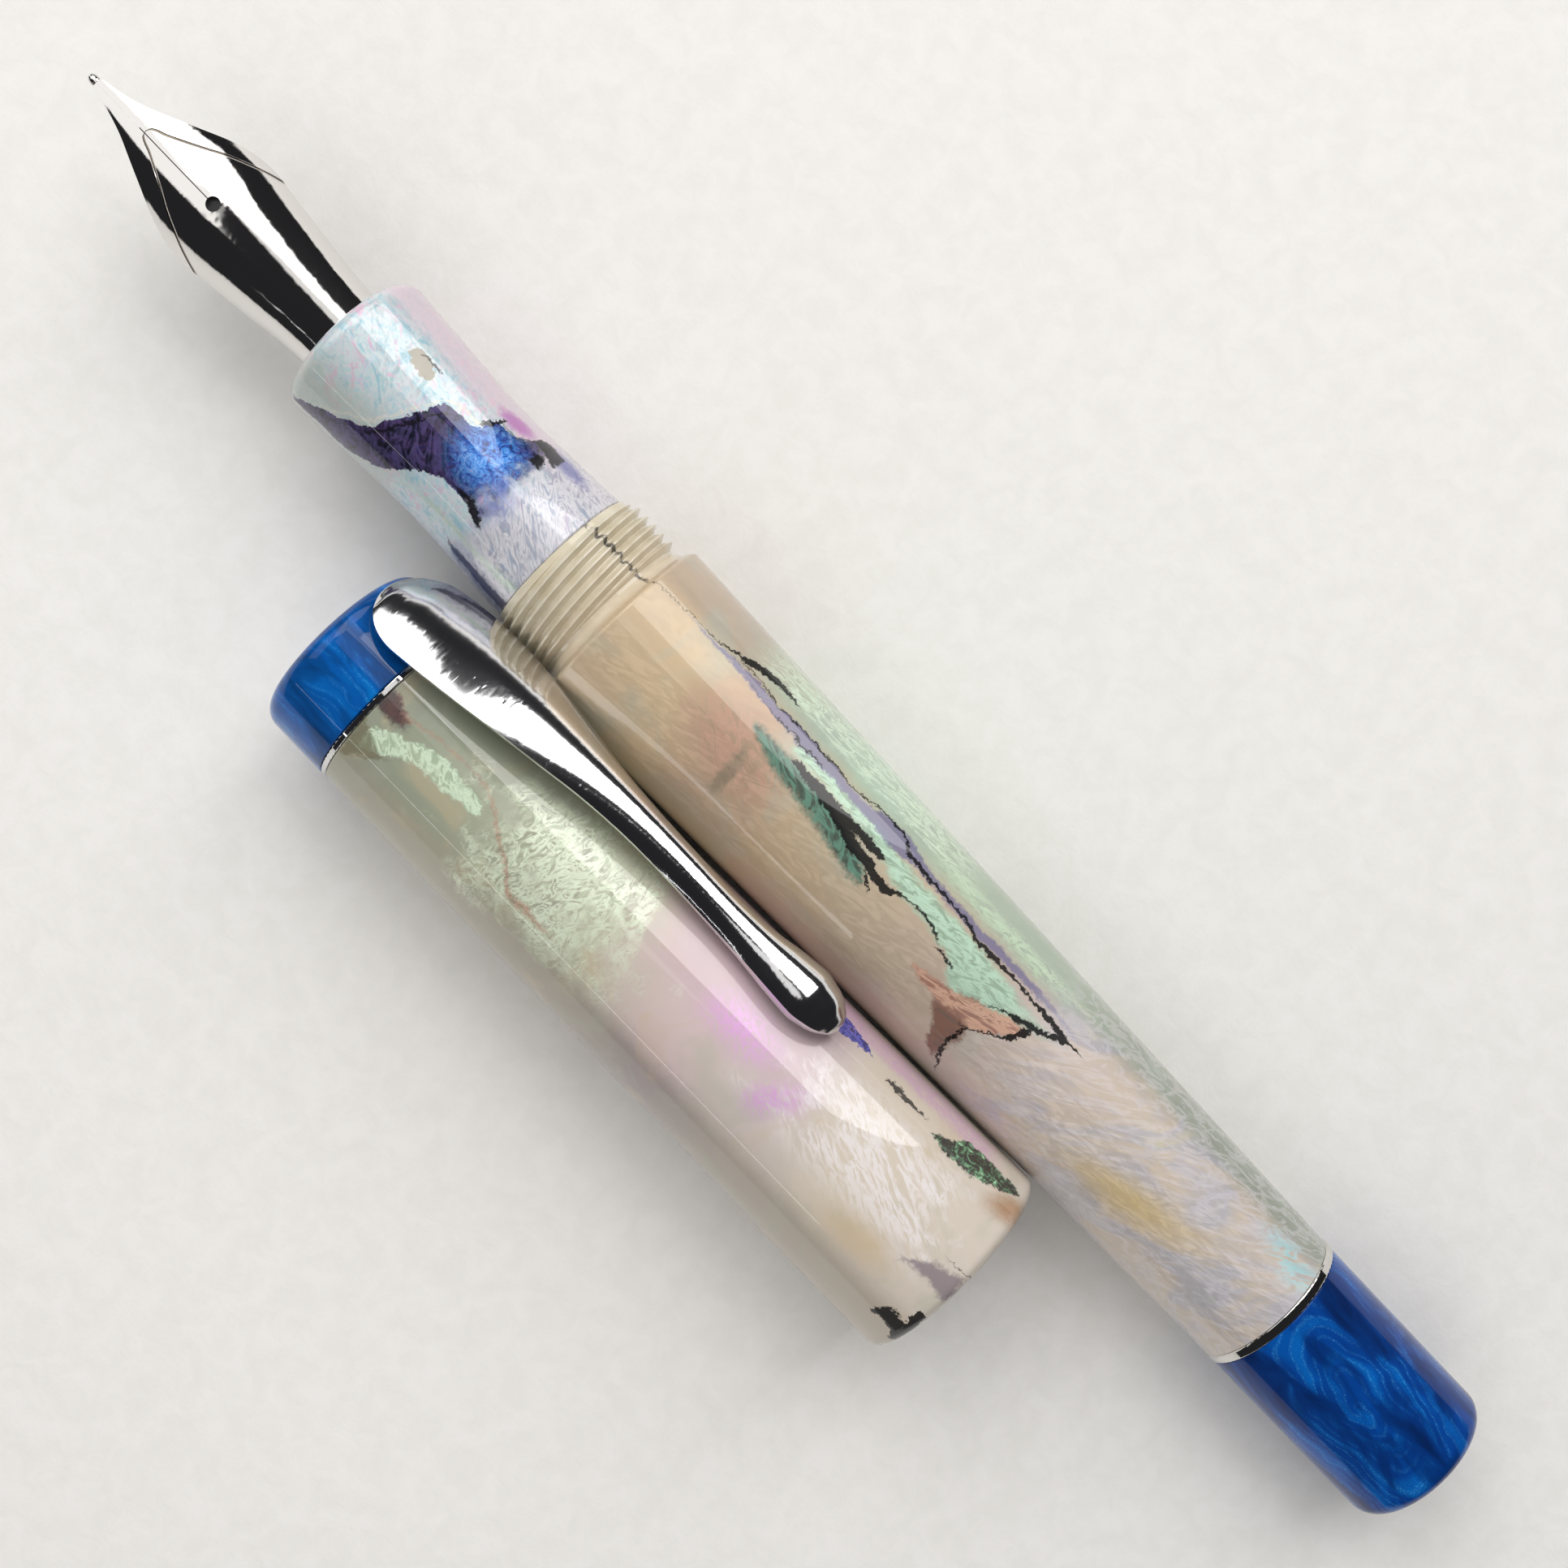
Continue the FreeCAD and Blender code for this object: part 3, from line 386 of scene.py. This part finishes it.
def section_resin():
    s = Shader("pearl_resin_section")
    where, x, wx, wa = base_fields(s, PEN)
    crush = ridges(s, s.stretched(where, (0.6, 1.1, 1.1), 36), 0.85, 0.16)
    tint = s.noise(where, 0.5, 4.0, 0.65, 1.5)
    color = s.ramp(tint, [(0.28, srgb(214, 186, 204)), (0.42, srgb(168, 202, 206)),
                          (0.5, srgb(204, 206, 212)), (0.58, srgb(160, 198, 210)),
                          (0.7, srgb(206, 190, 214))])
    color = s.lay(color, srgb(222, 232, 234), 0.6, crush)
    brush = s.noise(s.stretched(where, (0.55, 1.2, 1.2), 24), 0.8, 5.0, 0.7, 1.2)
    color = s.lay(color, srgb(226, 178, 206), 0.75, s.span(brush, 0.54, 0.66))
    color = s.lay(color, srgb(136, 190, 206), 0.7, s.span(brush, 0.46, 0.34))
    color = s.lay(color, srgb(220, 194, 206), 0.7, s.span(wa, 4.0, 6.0))
    color = s.lay(color, srgb(186, 192, 182), 0.65, s.span(wa, -0.5, -4.5), s.span(wx, -10, -13))

    # fibres towards the barrel
    rear = s.span(wx, -6.5, -3.5)
    fibre = ridges(s, s.stretched(where, (0.45, 1.8, 1.8), 35), 1.0, 0.14)
    color = s.lay(color, srgb(160, 160, 180), 0.75, rear)
    color = s.lay(color, srgb(226, 224, 228), 0.85, rear, fibre)

    # the dark field across the middle
    top = [(-20.4, -7.6), (-17.4, -5.5), (-15.1, -4.0), (-13.8, -1.7), (-12.7, 0.6), (-12.1, 2.3),
           (-11.2, 2.4), (-9.6, 2.7), (-9.3, 4.4), (-7.8, 4.6), (-5.6, 7.2), (-4.6, 7.0), (-3.6, 4.4)]
    bottom = [(-20.4, -8.2), (-16.8, -8.3), (-13.3, -7.0), (-10.8, -4.2), (-9.6, -2.9), (-6.9, -2.4),
              (-4.6, -3.3), (-4.1, -1.0), (-3.6, 3.6)]
    ragged = s.math("MULTIPLY_ADD", s.noise(where, 0.7, 4.0, 0.6), 5.0, s.math("ADD", x, -2.5))
    dark = s.math("MULTIPLY", s.between(wx, wa, top, bottom, 0.15), s.span(ragged, -4.6, -6.4))
    depth = s.noise(where, 0.9, 4.0, 0.65, 1.0)
    navy = s.ramp(depth, [(0.3, srgb(8, 8, 14)), (0.45, srgb(22, 24, 48)), (0.55, srgb(62, 46, 84)),
                          (0.7, srgb(24, 30, 80))])
    color = s.mix(dark, color, navy)
    sweep = ridges(s, s.stretched(where, (0.35, 1.3, 1.3), 52), 0.9, 0.1, 3.0, 0.8)
    color = s.lay(color, srgb(104, 92, 150), 0.4, dark, sweep)
    blue_spot = s.patch(wx, wa, (-7.6, 1.6), (3.9, 4.4), 0, 0.8)
    vivid = s.ramp(s.noise(where, 1.3, 5.0, 0.72, 1.5), [(0.34, srgb(12, 20, 60)), (0.45, srgb(24, 88, 186)),
                   (0.54, srgb(70, 150, 232)), (0.64, srgb(140, 180, 240)), (0.75, srgb(160, 120, 204))])
    color = s.lay(color, vivid, 0.95, dark, blue_spot)
    mauve = s.patch(wx, wa, (-5.2, -0.6), (2.2, 2.6), 0, 0.9)
    color = s.lay(color, srgb(140, 150, 206), 0.7, mauve, crush)
    violet = s.patch(wx, wa, (-3.8, 6.6), (2.6, 1.6), -14, 0.8)
    color = s.lay(color, srgb(104, 108, 170), 0.8, violet)
    magenta = s.patch(wx, wa, (-8.4, 6.0), (2.0, 1.4), 10, 0.7)
    color = s.lay(color, srgb(180, 108, 178), 0.85, magenta)
    edges = [
        s.vein(wx, wa, [(-9.9, 3.0, 0.1), (-9.3, 4.0, 0.5), (-8.9, 5.0, 0.35), (-8.6, 5.2, 0.05)], 0.2),
        s.vein(wx, wa, [(-9.0, 4.7, 0.2), (-8.0, 4.6, 0.2), (-7.0, 5.6, 0.3), (-6.0, 6.6, 0.9),
                        (-4.6, 6.2, 1.1), (-4.2, 6.0, 0.1)], 0.3),
        s.vein(wx, wa, [(-6.0, 4.4, 0.2), (-5.4, 4.6, 0.9), (-5.0, 4.4, 0.6), (-4.8, 4.2, 0.05)], 0.3),
        s.vein(wx, wa, [(-9.8, -2.6, 0.05), (-8.0, -2.1, 0.22), (-6.9, -2.0, 0.4), (-5.6, -2.4, 0.6),
                        (-4.6, -3.1, 0.1)], 0.3),
        s.vein(wx, wa, [(-17.6, -5.9, 0.05), (-15.0, -4.6, 0.35), (-13.6, -2.6, 0.6), (-12.6, -0.6, 0.6),
                        (-11.9, 1.2, 0.5), (-11.0, 2.2, 0.2)], 0.6),
    ]
    color = s.lay(color, INK, 0.95, s.join(edges))
    lip = s.vein(wx, wa, [(-20.0, -7.3, 0.05), (-17.3, -5.1, 0.2), (-15.3, -3.6, 0.25), (-13.9, -1.2, 0.3),
                          (-12.9, 0.9, 0.3), (-12.1, 2.6, 0.3), (-11.0, 2.9, 0.25), (-9.9, 3.1, 0.3),
                          (-9.6, 3.3, 0.05)], 0.3)
    color = s.lay(color, srgb(228, 222, 206), 0.75, lip)
    green = s.vein(wx, wa, [(-12, -6.2, 0.2), (-8, -5.0, 0.6), (-4, -4.9, 0.7), (0.2, -4.4, 0.8)], 0.9)
    color = s.lay(color, srgb(184, 206, 182), 0.7, green)
    under = s.vein(wx, wa, [(-6.4, -6.2, 0.1), (-4.5, -6.9, 0.7), (0.2, -6.9, 0.9)], 0.4)
    color = s.lay(color, srgb(66, 66, 92), 0.85, under)

    # a small chip near the front
    chip = s.patch(wx, wa, (-15.1, 2.9), (1.25, 0.85), -10, 0.12)
    color = s.mix(chip, color, srgb(168, 162, 148))
    chip_edge = s.vein(wx, wa, [(-15.6, 3.2, 0.05), (-15.2, 3.55, 0.16), (-14.3, 3.65, 0.16),
                                (-13.9, 3.6, 0.03)])
    color = s.lay(color, INK, 0.9, chip_edge)
    polish(s, color, crush)
    return s.material


def cap_resin():
    s = Shader("pearl_resin_cap")
    where, x, wx, wa = base_fields(s, CAP)
    soft_x = s.math("MULTIPLY_ADD", s.noise(where, 0.25, 2.0), 6.0, s.math("SUBTRACT", x, 3.0))
    color = s.ramp(soft_x, [
        (5, srgb(150, 154, 136)), (12, srgb(158, 164, 144)), (18, srgb(168, 172, 150)),
        (26, srgb(190, 190, 168)), (31, srgb(206, 192, 182)), (36, srgb(214, 194, 192)),
        (42, srgb(208, 196, 190)), (50, srgb(216, 204, 188)), (56, srgb(216, 204, 190)),
        (61, srgb(212, 202, 190))])
    low = s.ramp(soft_x, [
        (5, srgb(168, 166, 148)), (15, srgb(180, 174, 156)), (26, srgb(168, 160, 146)),
        (36, srgb(154, 144, 142)), (45, srgb(176, 166, 154)), (61, srgb(186, 176, 160))])
    color = s.lay(color, low, 0.85, s.span(wa, -2.6, -4.8))
    cloud = s.noise(where, 0.2, 3.0, 0.55, 0.8)
    color = s.lay(color, srgb(180, 182, 164), 0.4, s.span(cloud, 0.5, 0.7))
    color = s.lay(color, srgb(206, 184, 150), 0.4, s.span(cloud, 0.45, 0.28))

    # crinkled green-white pearl
    blotch = s.math("MULTIPLY_ADD", s.noise(where, 0.35, 3.0, 0.6, 0.5), 22.0, -11.0)
    pearl = s.math("MULTIPLY", s.inside(s.math("ADD", wx, blotch), 14, 31.5, 8.0),
                   s.inside(s.math("MULTIPLY_ADD", blotch, 0.3, wa), -5.6, 5.0, 3.0))
    crinkle = ridges(s, s.stretched(where, (1.2, 0.7, 0.7), 14), 1.0, 0.13, 4.0, 1.8)
    folds = s.noise(s.stretched(where, (1.3, 0.55, 0.55), 12), 0.8, 4.0, 0.6, 1.5)
    color = s.lay(color, srgb(206, 220, 190), 0.7, pearl, s.span(folds, 0.42, 0.62))
    color = s.lay(color, srgb(140, 142, 122), 0.55, pearl, s.span(folds, 0.5, 0.34))
    color = s.lay(color, srgb(236, 246, 222), 0.95, pearl, crinkle)

    # pink pearl
    pink = s.math("MULTIPLY", s.inside(wx, 28, 46, 4), s.span(wa, -0.8, 2.2))
    color = s.lay(color, srgb(208, 180, 192), 0.6, pink)
    fibre = ridges(s, s.stretched(where, (0.6, 1.3, 1.3), 35), 1.1, 0.12)
    hot = s.math("MAXIMUM", s.patch(wx, wa, (38.2, 1.6), (4.6, 2.2), 0, 0.95),
                 s.patch(wx, wa, (43.0, 0.0), (3.2, 1.7), 40, 0.95))
    color = s.lay(color, srgb(232, 176, 232), s.math("MULTIPLY_ADD", fibre, 0.7, 0.2), hot)
    long_fibre = ridges(s, s.stretched(where, (0.3, 1.3, 1.3), 24), 1.3, 0.13, 4.0, 0.6)
    streak = s.math("MULTIPLY", s.inside(s.math("ADD", wx, blotch), 41, 59, 6), s.inside(wa, -2.4, 5.6, 3.0))
    color = s.lay(color, srgb(244, 238, 240), 0.7, streak, long_fibre)
    rose = s.math("MULTIPLY", s.inside(wx, 40, 58, 3), s.inside(wa, 6.4, 9.6, 0.9))
    color = s.lay(color, srgb(206, 168, 196), s.math("MULTIPLY_ADD", fibre, 0.4, 0.4), rose)
    peach = s.patch(wx, wa, (53, -2.2), (4.5, 1.8), 0, 0.9)
    color = s.lay(color, srgb(208, 182, 138), 0.5, peach)

    # brown line and mint streaks beside the clip's ring
    line = s.vein(wx, wa, [(6.4, 0.3, 0.9), (8, 0.2, 0.7), (9.5, 0.75, 0.25), (14.3, 0.95, 0.22),
                           (17.5, -0.45, 0.3), (20.1, -1.95, 0.35), (21.6, -2.8, 0.4), (26, -2.8, 0.1)], 0.5)
    color = s.lay(color, srgb(146, 106, 88), 0.75, line)
    color = s.lay(color, srgb(222, 172, 148), 0.6, line, crinkle)
    plum = s.patch(wx, wa, (6.9, 0.2), (2.4, 0.9), -10, 0.5)
    color = s.lay(color, srgb(64, 48, 56), 0.85, plum)
    mint = s.between(wx, wa, [(7, -1.4), (9, -0.6), (12, 0.3), (15.8, 0.1), (16.2, -0.4)],
                     [(7, -3.4), (8.5, -2.7), (10.8, -1.45), (15.6, -1.0), (16.2, -0.8)], 0.25)
    color = s.lay(color, srgb(176, 196, 168), 0.75, mint)
    color = s.lay(color, srgb(222, 240, 214), 0.8, mint, fibre)
    olive = s.between(wx, wa, [(6.2, -1.2), (7.5, -1.8), (9, -2.2), (10.8, -1.5)],
                      [(6.2, -5.0), (7.0, -4.3), (8.6, -3.1), (10.8, -1.6)], 0.4)
    color = s.lay(color, srgb(116, 110, 84), 0.7, olive)

    # dark inclusions
    lens = s.vein(wx, wa, [(38, 6.4, 0.6), (42.6, 6.5, 0.85), (44.4, 6.5, 0.55), (45.9, 6.2, 0.05)], 0.15)
    gem = s.ramp(s.noise(where, 1.8, 4.0, 0.7, 1.0), [(0.34, srgb(12, 14, 24)), (0.46, srgb(50, 60, 150)),
                 (0.56, srgb(110, 110, 210)), (0.68, srgb(60, 36, 60))])
    color = s.lay(color, gem, 0.95, lens)
    small = s.vein(wx, wa, [(47.2, 5.8, 0.03), (49.0, 5.85, 0.28), (50.2, 5.8, 0.2), (51.4, 5.7, 0.03)], 0.12)
    wedge = s.between(wx, wa, [(52.0, 5.4), (53.6, 6.3), (55.2, 7.2), (58.4, 7.2), (59.4, 6.9)],
                      [(52.0, 5.2), (53.6, 4.9), (55.4, 4.9), (57.4, 5.6), (59.4, 6.6)], 0.2)
    moss = s.ramp(s.noise(where, 1.4, 4.0, 0.7, 1.0), [(0.36, srgb(10, 12, 10)), (0.5, srgb(30, 34, 26)),
                  (0.6, srgb(96, 150, 110)), (0.68, srgb(180, 220, 180))])
    rust = s.patch(wx, wa, (59.2, 5.4), (2.6, 1.5), 20, 0.9)
    color = s.lay(color, srgb(168, 118, 74), 0.75, rust)
    color = s.lay(color, moss, 0.95, wedge)
    color = s.lay(color, srgb(30, 32, 34), 0.9, small)
    violet = s.between(wx, wa, [(55.6, -1.4), (57.2, 0.0), (60.3, 0.9)],
                       [(55.6, -1.8), (57.4, -1.2), (60.3, -1.4)], 0.5)
    color = s.lay(color, srgb(122, 106, 120), 0.75, violet)
    edge_line = s.vein(wx, wa, [(57.6, 0.75, 0.02), (59, 0.8, 0.08), (60.4, 0.9, 0.1)], 0.1)
    star = s.math("MAXIMUM",
                  s.between(wx, wa, [(57.2, -5.0), (58.5, -3.7), (59.2, -3.8), (59.5, -2.4), (60.3, -2.6)],
                            [(57.2, -5.1), (58.2, -5.0), (59.2, -5.0), (59.7, -5.8), (60.3, -5.0)], 0.12),
                  s.math("MULTIPLY", edge_line, 0.8))
    color = s.lay(color, INK, 0.96, star)
    polish(s, color, s.math("MAXIMUM", s.math("MULTIPLY", pearl, crinkle), s.math("MULTIPLY", hot, fibre)))
    return s.material


def blue_resin(name, place, centre, lift):
    """Deep blue resin with one wide eddy of pale glitter round centre."""
    s = Shader(name)
    where, x, a = s.local(place)
    drift = s.add("SeparateXYZ", s.noise(where, 0.22, 2.0, 0.5, 0.0, 1)).outputs
    dx = s.math("MULTIPLY_ADD", drift[0], 5.0, s.math("SUBTRACT", x, centre[0] + 2.5))
    da = s.math("MULTIPLY_ADD", drift[1], 4.0, s.math("SUBTRACT", a, centre[1] + 2.0))
    wide = s.math("MULTIPLY", s.math("MULTIPLY", da, da), EDDY_FLATNESS)
    reach = s.math("SQRT", s.math("MULTIPLY_ADD", dx, dx, wide))
    turn = s.math("ARCTAN2", s.math("MULTIPLY", da, EDDY_TWIST), dx)
    wave = s.math("SINE", s.math("MULTIPLY_ADD", reach, 1.9, turn))
    streaks = s.span(wave, 0.1, 1.0)
    thin = s.span(s.math("SINE", s.math("MULTIPLY_ADD", reach, 5.2, s.math("MULTIPLY", turn, 2.0))), 0.3, 1.0)
    broad = s.noise(s.stretched(where, (0.3, 0.8, 0.8), 6), 0.5, 3.0, 0.55, 0.6)
    color = s.ramp(broad, [
        (0.3, srgb(0, 34 + lift, 88 + lift)), (0.45, srgb(0, 50 + lift, 120 + lift)),
        (0.56, srgb(0, 64 + lift, 146 + lift)), (0.7, srgb(0, 84 + lift, 172 + lift // 2))])
    flakes = s.span(s.noise(where, 11.0, 1.0, 0.5), 0.5, 0.75)
    glow = s.math("MULTIPLY", streaks, s.math("MULTIPLY_ADD", flakes, 0.5, 0.2))
    color = s.mix(s.math("MULTIPLY", glow, s.span(broad, 0.40, 0.62)), color, srgb(10, 128, 216))
    glow = s.math("MULTIPLY", thin, s.math("MULTIPLY_ADD", flakes, 0.55, 0.06))
    color = s.mix(s.math("MULTIPLY", glow, s.span(broad, 0.44, 0.62)), color, srgb(70, 172, 236))
    polish(s, color, flakes, 0.6, BLUE_COAT_IOR)
    s.bsdf.inputs["Specular IOR Level"].default_value = BLUE_SPECULAR
    return s.material


# ---------------------------------------------------------------- metals, plastics, rubber

def plated(name, tone, place, lengthwise=True, haze=0.02):
    """Bright plating with polishing marks along or round the axis; haze is its least roughness."""
    s = Shader(name)
    where = s.local(place)[0]
    along = (0.6, 5.0, 5.0) if lengthwise else (5.0, 0.8, 0.8)
    marks = s.noise(s.stretched(where, along), 6.0, 3.0, 0.7)
    smudge = s.noise(where, 0.7, 3.0, 0.6)
    s.surface(Base_Color=s.mix(s.span(smudge, 0.3, 0.7), tone, tuple(0.93 * c for c in tone[:3]) + (1,)),
              Metallic=1.0, Roughness=s.math("MULTIPLY_ADD", marks, 0.05, haze),
              Normal=s.bump(marks, PLATING_DEPTH))
    return s.material


def nib_steel():
    """Polished steel with the engraved V that runs from the slit to the shoulders; the groove is darkened
    with painted shade.
    """
    s = Shader("nib_steel")
    where, x = s.local(PEN)[:2]
    side = s.add("SeparateXYZ", where).outputs[1]
    yawed = s.math("MULTIPLY", s.math("SUBTRACT", x, NIB_YAW_X), -NIB_YAW)
    across = s.math("ABSOLUTE", s.math("ADD", side, yawed))
    groove_y = s.path(x, [(-39.9, 0.0), (-39.75, 0.35), (-38.6, 0.85), (-37.4, 1.45), (-36.3, 2.05),
                          (-35.2, 2.7), (-34.0, 3.3), (-32.8, 3.85), (-31.6, 4.3)])
    off = s.math("ABSOLUTE", s.math("SUBTRACT", across, groove_y))
    groove_and_shade = s.math("MULTIPLY", s.span(off, 0.11, 0.03), s.inside(x, -39.95, -30.8, 0.1))
    marks = s.noise(s.stretched(where, (0.5, 4.0, 4.0)), 5.0, 3.0, 0.7)
    height = s.math("MULTIPLY_ADD", marks, 0.01, s.math("SUBTRACT", 1.0, groove_and_shade))
    # painted shade: the groove's colour is darkened as well as its relief cut
    s.surface(Base_Color=s.mix(groove_and_shade, srgb(226, 224, 222), srgb(120, 110, 98)), Metallic=1.0,
              Roughness=s.math("MULTIPLY_ADD", marks, 0.05, 0.03), Normal=s.bump(height, ENGRAVING_DEPTH))
    return s.material


def dull(name, tone, rough, grain):
    """Moulded plastic or rubber with a fine grain."""
    s = Shader(name)
    speck = s.noise(s.local(PEN)[0], grain, 3.0, 0.6)
    s.surface(Base_Color=s.mix(s.span(speck, 0.3, 0.7), tone, tuple(1.5 * c for c in tone[:3]) + (1,)),
              Roughness=s.math("MULTIPLY_ADD", speck, 0.2, rough), Normal=s.bump(speck, GRAIN_DEPTH))
    return s.material


def clear_plastic():
    s = Shader("clear_plastic")
    flow = s.noise(s.stretched(s.local(PEN)[0], (0.2, 1.0, 1.0)), 1.0, 2.0)
    s.surface(Base_Color=srgb(232, 238, 240), Roughness=s.math("MULTIPLY_ADD", flow, 0.08, 0.02),
              Transmission_Weight=0.9, IOR=1.49)
    return s.material


LOOKS = {
    "barrel": barrel_resin(),
    "section": section_resin(),
    "cap_body": cap_resin(),
    "blind_cap": blue_resin("blue_resin_blind_cap", PEN, (77.8, 0.0), 0),
    "cap_finial": blue_resin("blue_resin_finial", CAP, (3.0, -9.0), 24),
    "blind_cap_ring": plated("plated_ring", srgb(226, 224, 220), PEN, False),
    "clip_ring": plated("plated_clip_ring", srgb(228, 228, 228), CAP, False),
    "clip": plated("plated_clip", srgb(232, 232, 234), CAP, True, 0.085),
    "nib": nib_steel(),
    "nib_tip_left": plated("tipping", srgb(214, 212, 208), PEN),
    "feed": dull("feed_plastic", (0.012, 0.012, 0.013, 1), 0.42, 7.0),
    "nib_housing": dull("housing_plastic", (0.014, 0.014, 0.015, 1), 0.36, 5.0),
    "converter_guide": dull("guide_plastic", (0.02, 0.02, 0.022, 1), 0.4, 6.0),
    "converter_knob": dull("knob_plastic", (0.015, 0.015, 0.016, 1), 0.34, 6.0),
    "converter_seal": dull("seal_rubber", (0.02, 0.02, 0.02, 1), 0.6, 9.0),
    "converter_tube": clear_plastic(),
    "converter_collar": plated("converter_metal", srgb(214, 214, 216), PEN),
}
SHARED = {
    "nib_tip_right": "nib_tip_left",
    "converter_rod": "converter_knob",
    "section_oring": "converter_seal",
    "converter_mouth": "converter_tube",
}


def look(obj, material):
    obj.data.materials.clear()
    obj.data.materials.append(material)


for name, node in frame["nodes"].items():
    look(node, LOOKS[SHARED.get(name, name)])
    node.data.shade_smooth()
    node.data.set_sharp_from_angle(angle=SHARP_ANGLE)


# ---------------------------------------------------------------- paper, light, camera

def paper():
    s = Shader("paper")
    node = s.tree.nodes.new("ShaderNodeTexCoord")
    where = s.vector("MULTIPLY", node.outputs["Object"], (1 / MM, 1 / MM, 1 / MM))
    pulp = s.noise(where, 0.45, 5.0, 0.62, 0.4)
    fine = s.noise(where, 2.4, 3.0, 0.6)
    height = s.math("MULTIPLY_ADD", fine, 0.25, pulp)
    s.surface(Base_Color=s.mix(s.span(pulp, 0.3, 0.7), srgb(236, 234, 230), srgb(241, 239, 236)),
              Roughness=s.math("MULTIPLY_ADD", fine, 0.1, 0.8), Normal=s.bump(height, PAPER_DEPTH))
    s.bsdf.inputs["Specular IOR Level"].default_value = PAPER_SPECULAR
    return s.material


TABLE_HALF = 0.8
TABLE_DROP = 0.00003    # keeps the paper just clear of the pieces that rest on it
mesh = bpy.data.meshes.new("table")
mesh.from_pydata([(-TABLE_HALF, -TABLE_HALF, 0), (TABLE_HALF, -TABLE_HALF, 0), (TABLE_HALF, TABLE_HALF, 0),
                  (-TABLE_HALF, TABLE_HALF, 0)], [], [(0, 1, 2, 3)])
table = bpy.data.objects.new("table", mesh)
bpy.context.scene.collection.objects.link(table)
look(table, paper())
table.location.z = -TABLE_DROP

CAMERA_FROM_JOINT = 21.7    # along X from the section's joint
CAMERA_FROM_AXIS = 0.47     # along Y from the pen's axis
CAMERA_HEIGHT = 0.152
CAMERA_LENS = 48.22
CAMERA_TURN = math.radians(46.29)
camera_data = bpy.data.cameras.new("camera")
camera_data.lens = CAMERA_LENS
camera_data.sensor_width = 36
camera_data.clip_start = 0.005
camera = bpy.data.objects.new("camera", camera_data)
bpy.context.scene.collection.objects.link(camera)
joint_at = PEN.translation
camera.location = (joint_at.x + CAMERA_FROM_JOINT * MM, joint_at.y + CAMERA_FROM_AXIS * MM, CAMERA_HEIGHT)
camera.rotation_euler = (0, 0, CAMERA_TURN)
bpy.context.scene.camera = camera


def softbox(name, side, lean, distance, size, radiance, color=(1, 1, 1), roll=0.0, mirrored=True):
    """Panel facing the pen, leaning from the vertical by lean degrees to +Y and side degrees to +X."""
    data = bpy.data.lights.new(name, "AREA")
    data.shape = "RECTANGLE"
    data.size, data.size_y = size
    data.energy = radiance * math.pi * size[0] * size[1]
    data.color = color
    light = bpy.data.objects.new(name, data)
    bpy.context.scene.collection.objects.link(light)
    up = Vector((math.tan(math.radians(side)), math.tan(math.radians(lean)), 1)).normalized()
    light.location = up * distance
    turn = up.to_track_quat("Z", "Y").to_matrix() @ Matrix.Rotation(math.radians(roll), 3, "Z")
    light.rotation_euler = turn.to_euler()
    light.visible_glossy = mirrored


DAYLIGHT = (1.0, 0.99, 0.975)
ROOM_LIGHT = (1.0, 0.985, 0.96)
SKY_LIGHT = (0.98, 0.985, 1.0)
ROOM_DARK = (0.02, 0.02, 0.022, 1)
softbox("window", -6, 46, 0.62, (0.25, 0.50), 4.3, DAYLIGHT, -8)
softbox("far window", -43, 34, 0.62, (0.38, 0.52), 2.2, DAYLIGHT, -8)
softbox("pale wall", -46, -4, 0.70, (0.60, 0.44), 1.15, ROOM_LIGHT)
softbox("ceiling", -16, 12, 0.64, (0.18, 0.34), 0.9, ROOM_LIGHT)
softbox("fill", 0, 0, 0.9, (1.6, 1.6), 0.38, SKY_LIGHT, mirrored=False)
softbox("bounce", 6, -50, 0.8, (1.2, 0.8), 0.72, ROOM_LIGHT, mirrored=False)
softbox("strip", -10, -64, 0.6, (0.30, 0.010), 4.0)
world = bpy.data.worlds.new("room")
bpy.context.scene.world = world
world.use_nodes = True
world.node_tree.nodes["Background"].inputs[0].default_value = ROOM_DARK
bpy.context.scene.view_settings.view_transform = "Standard"
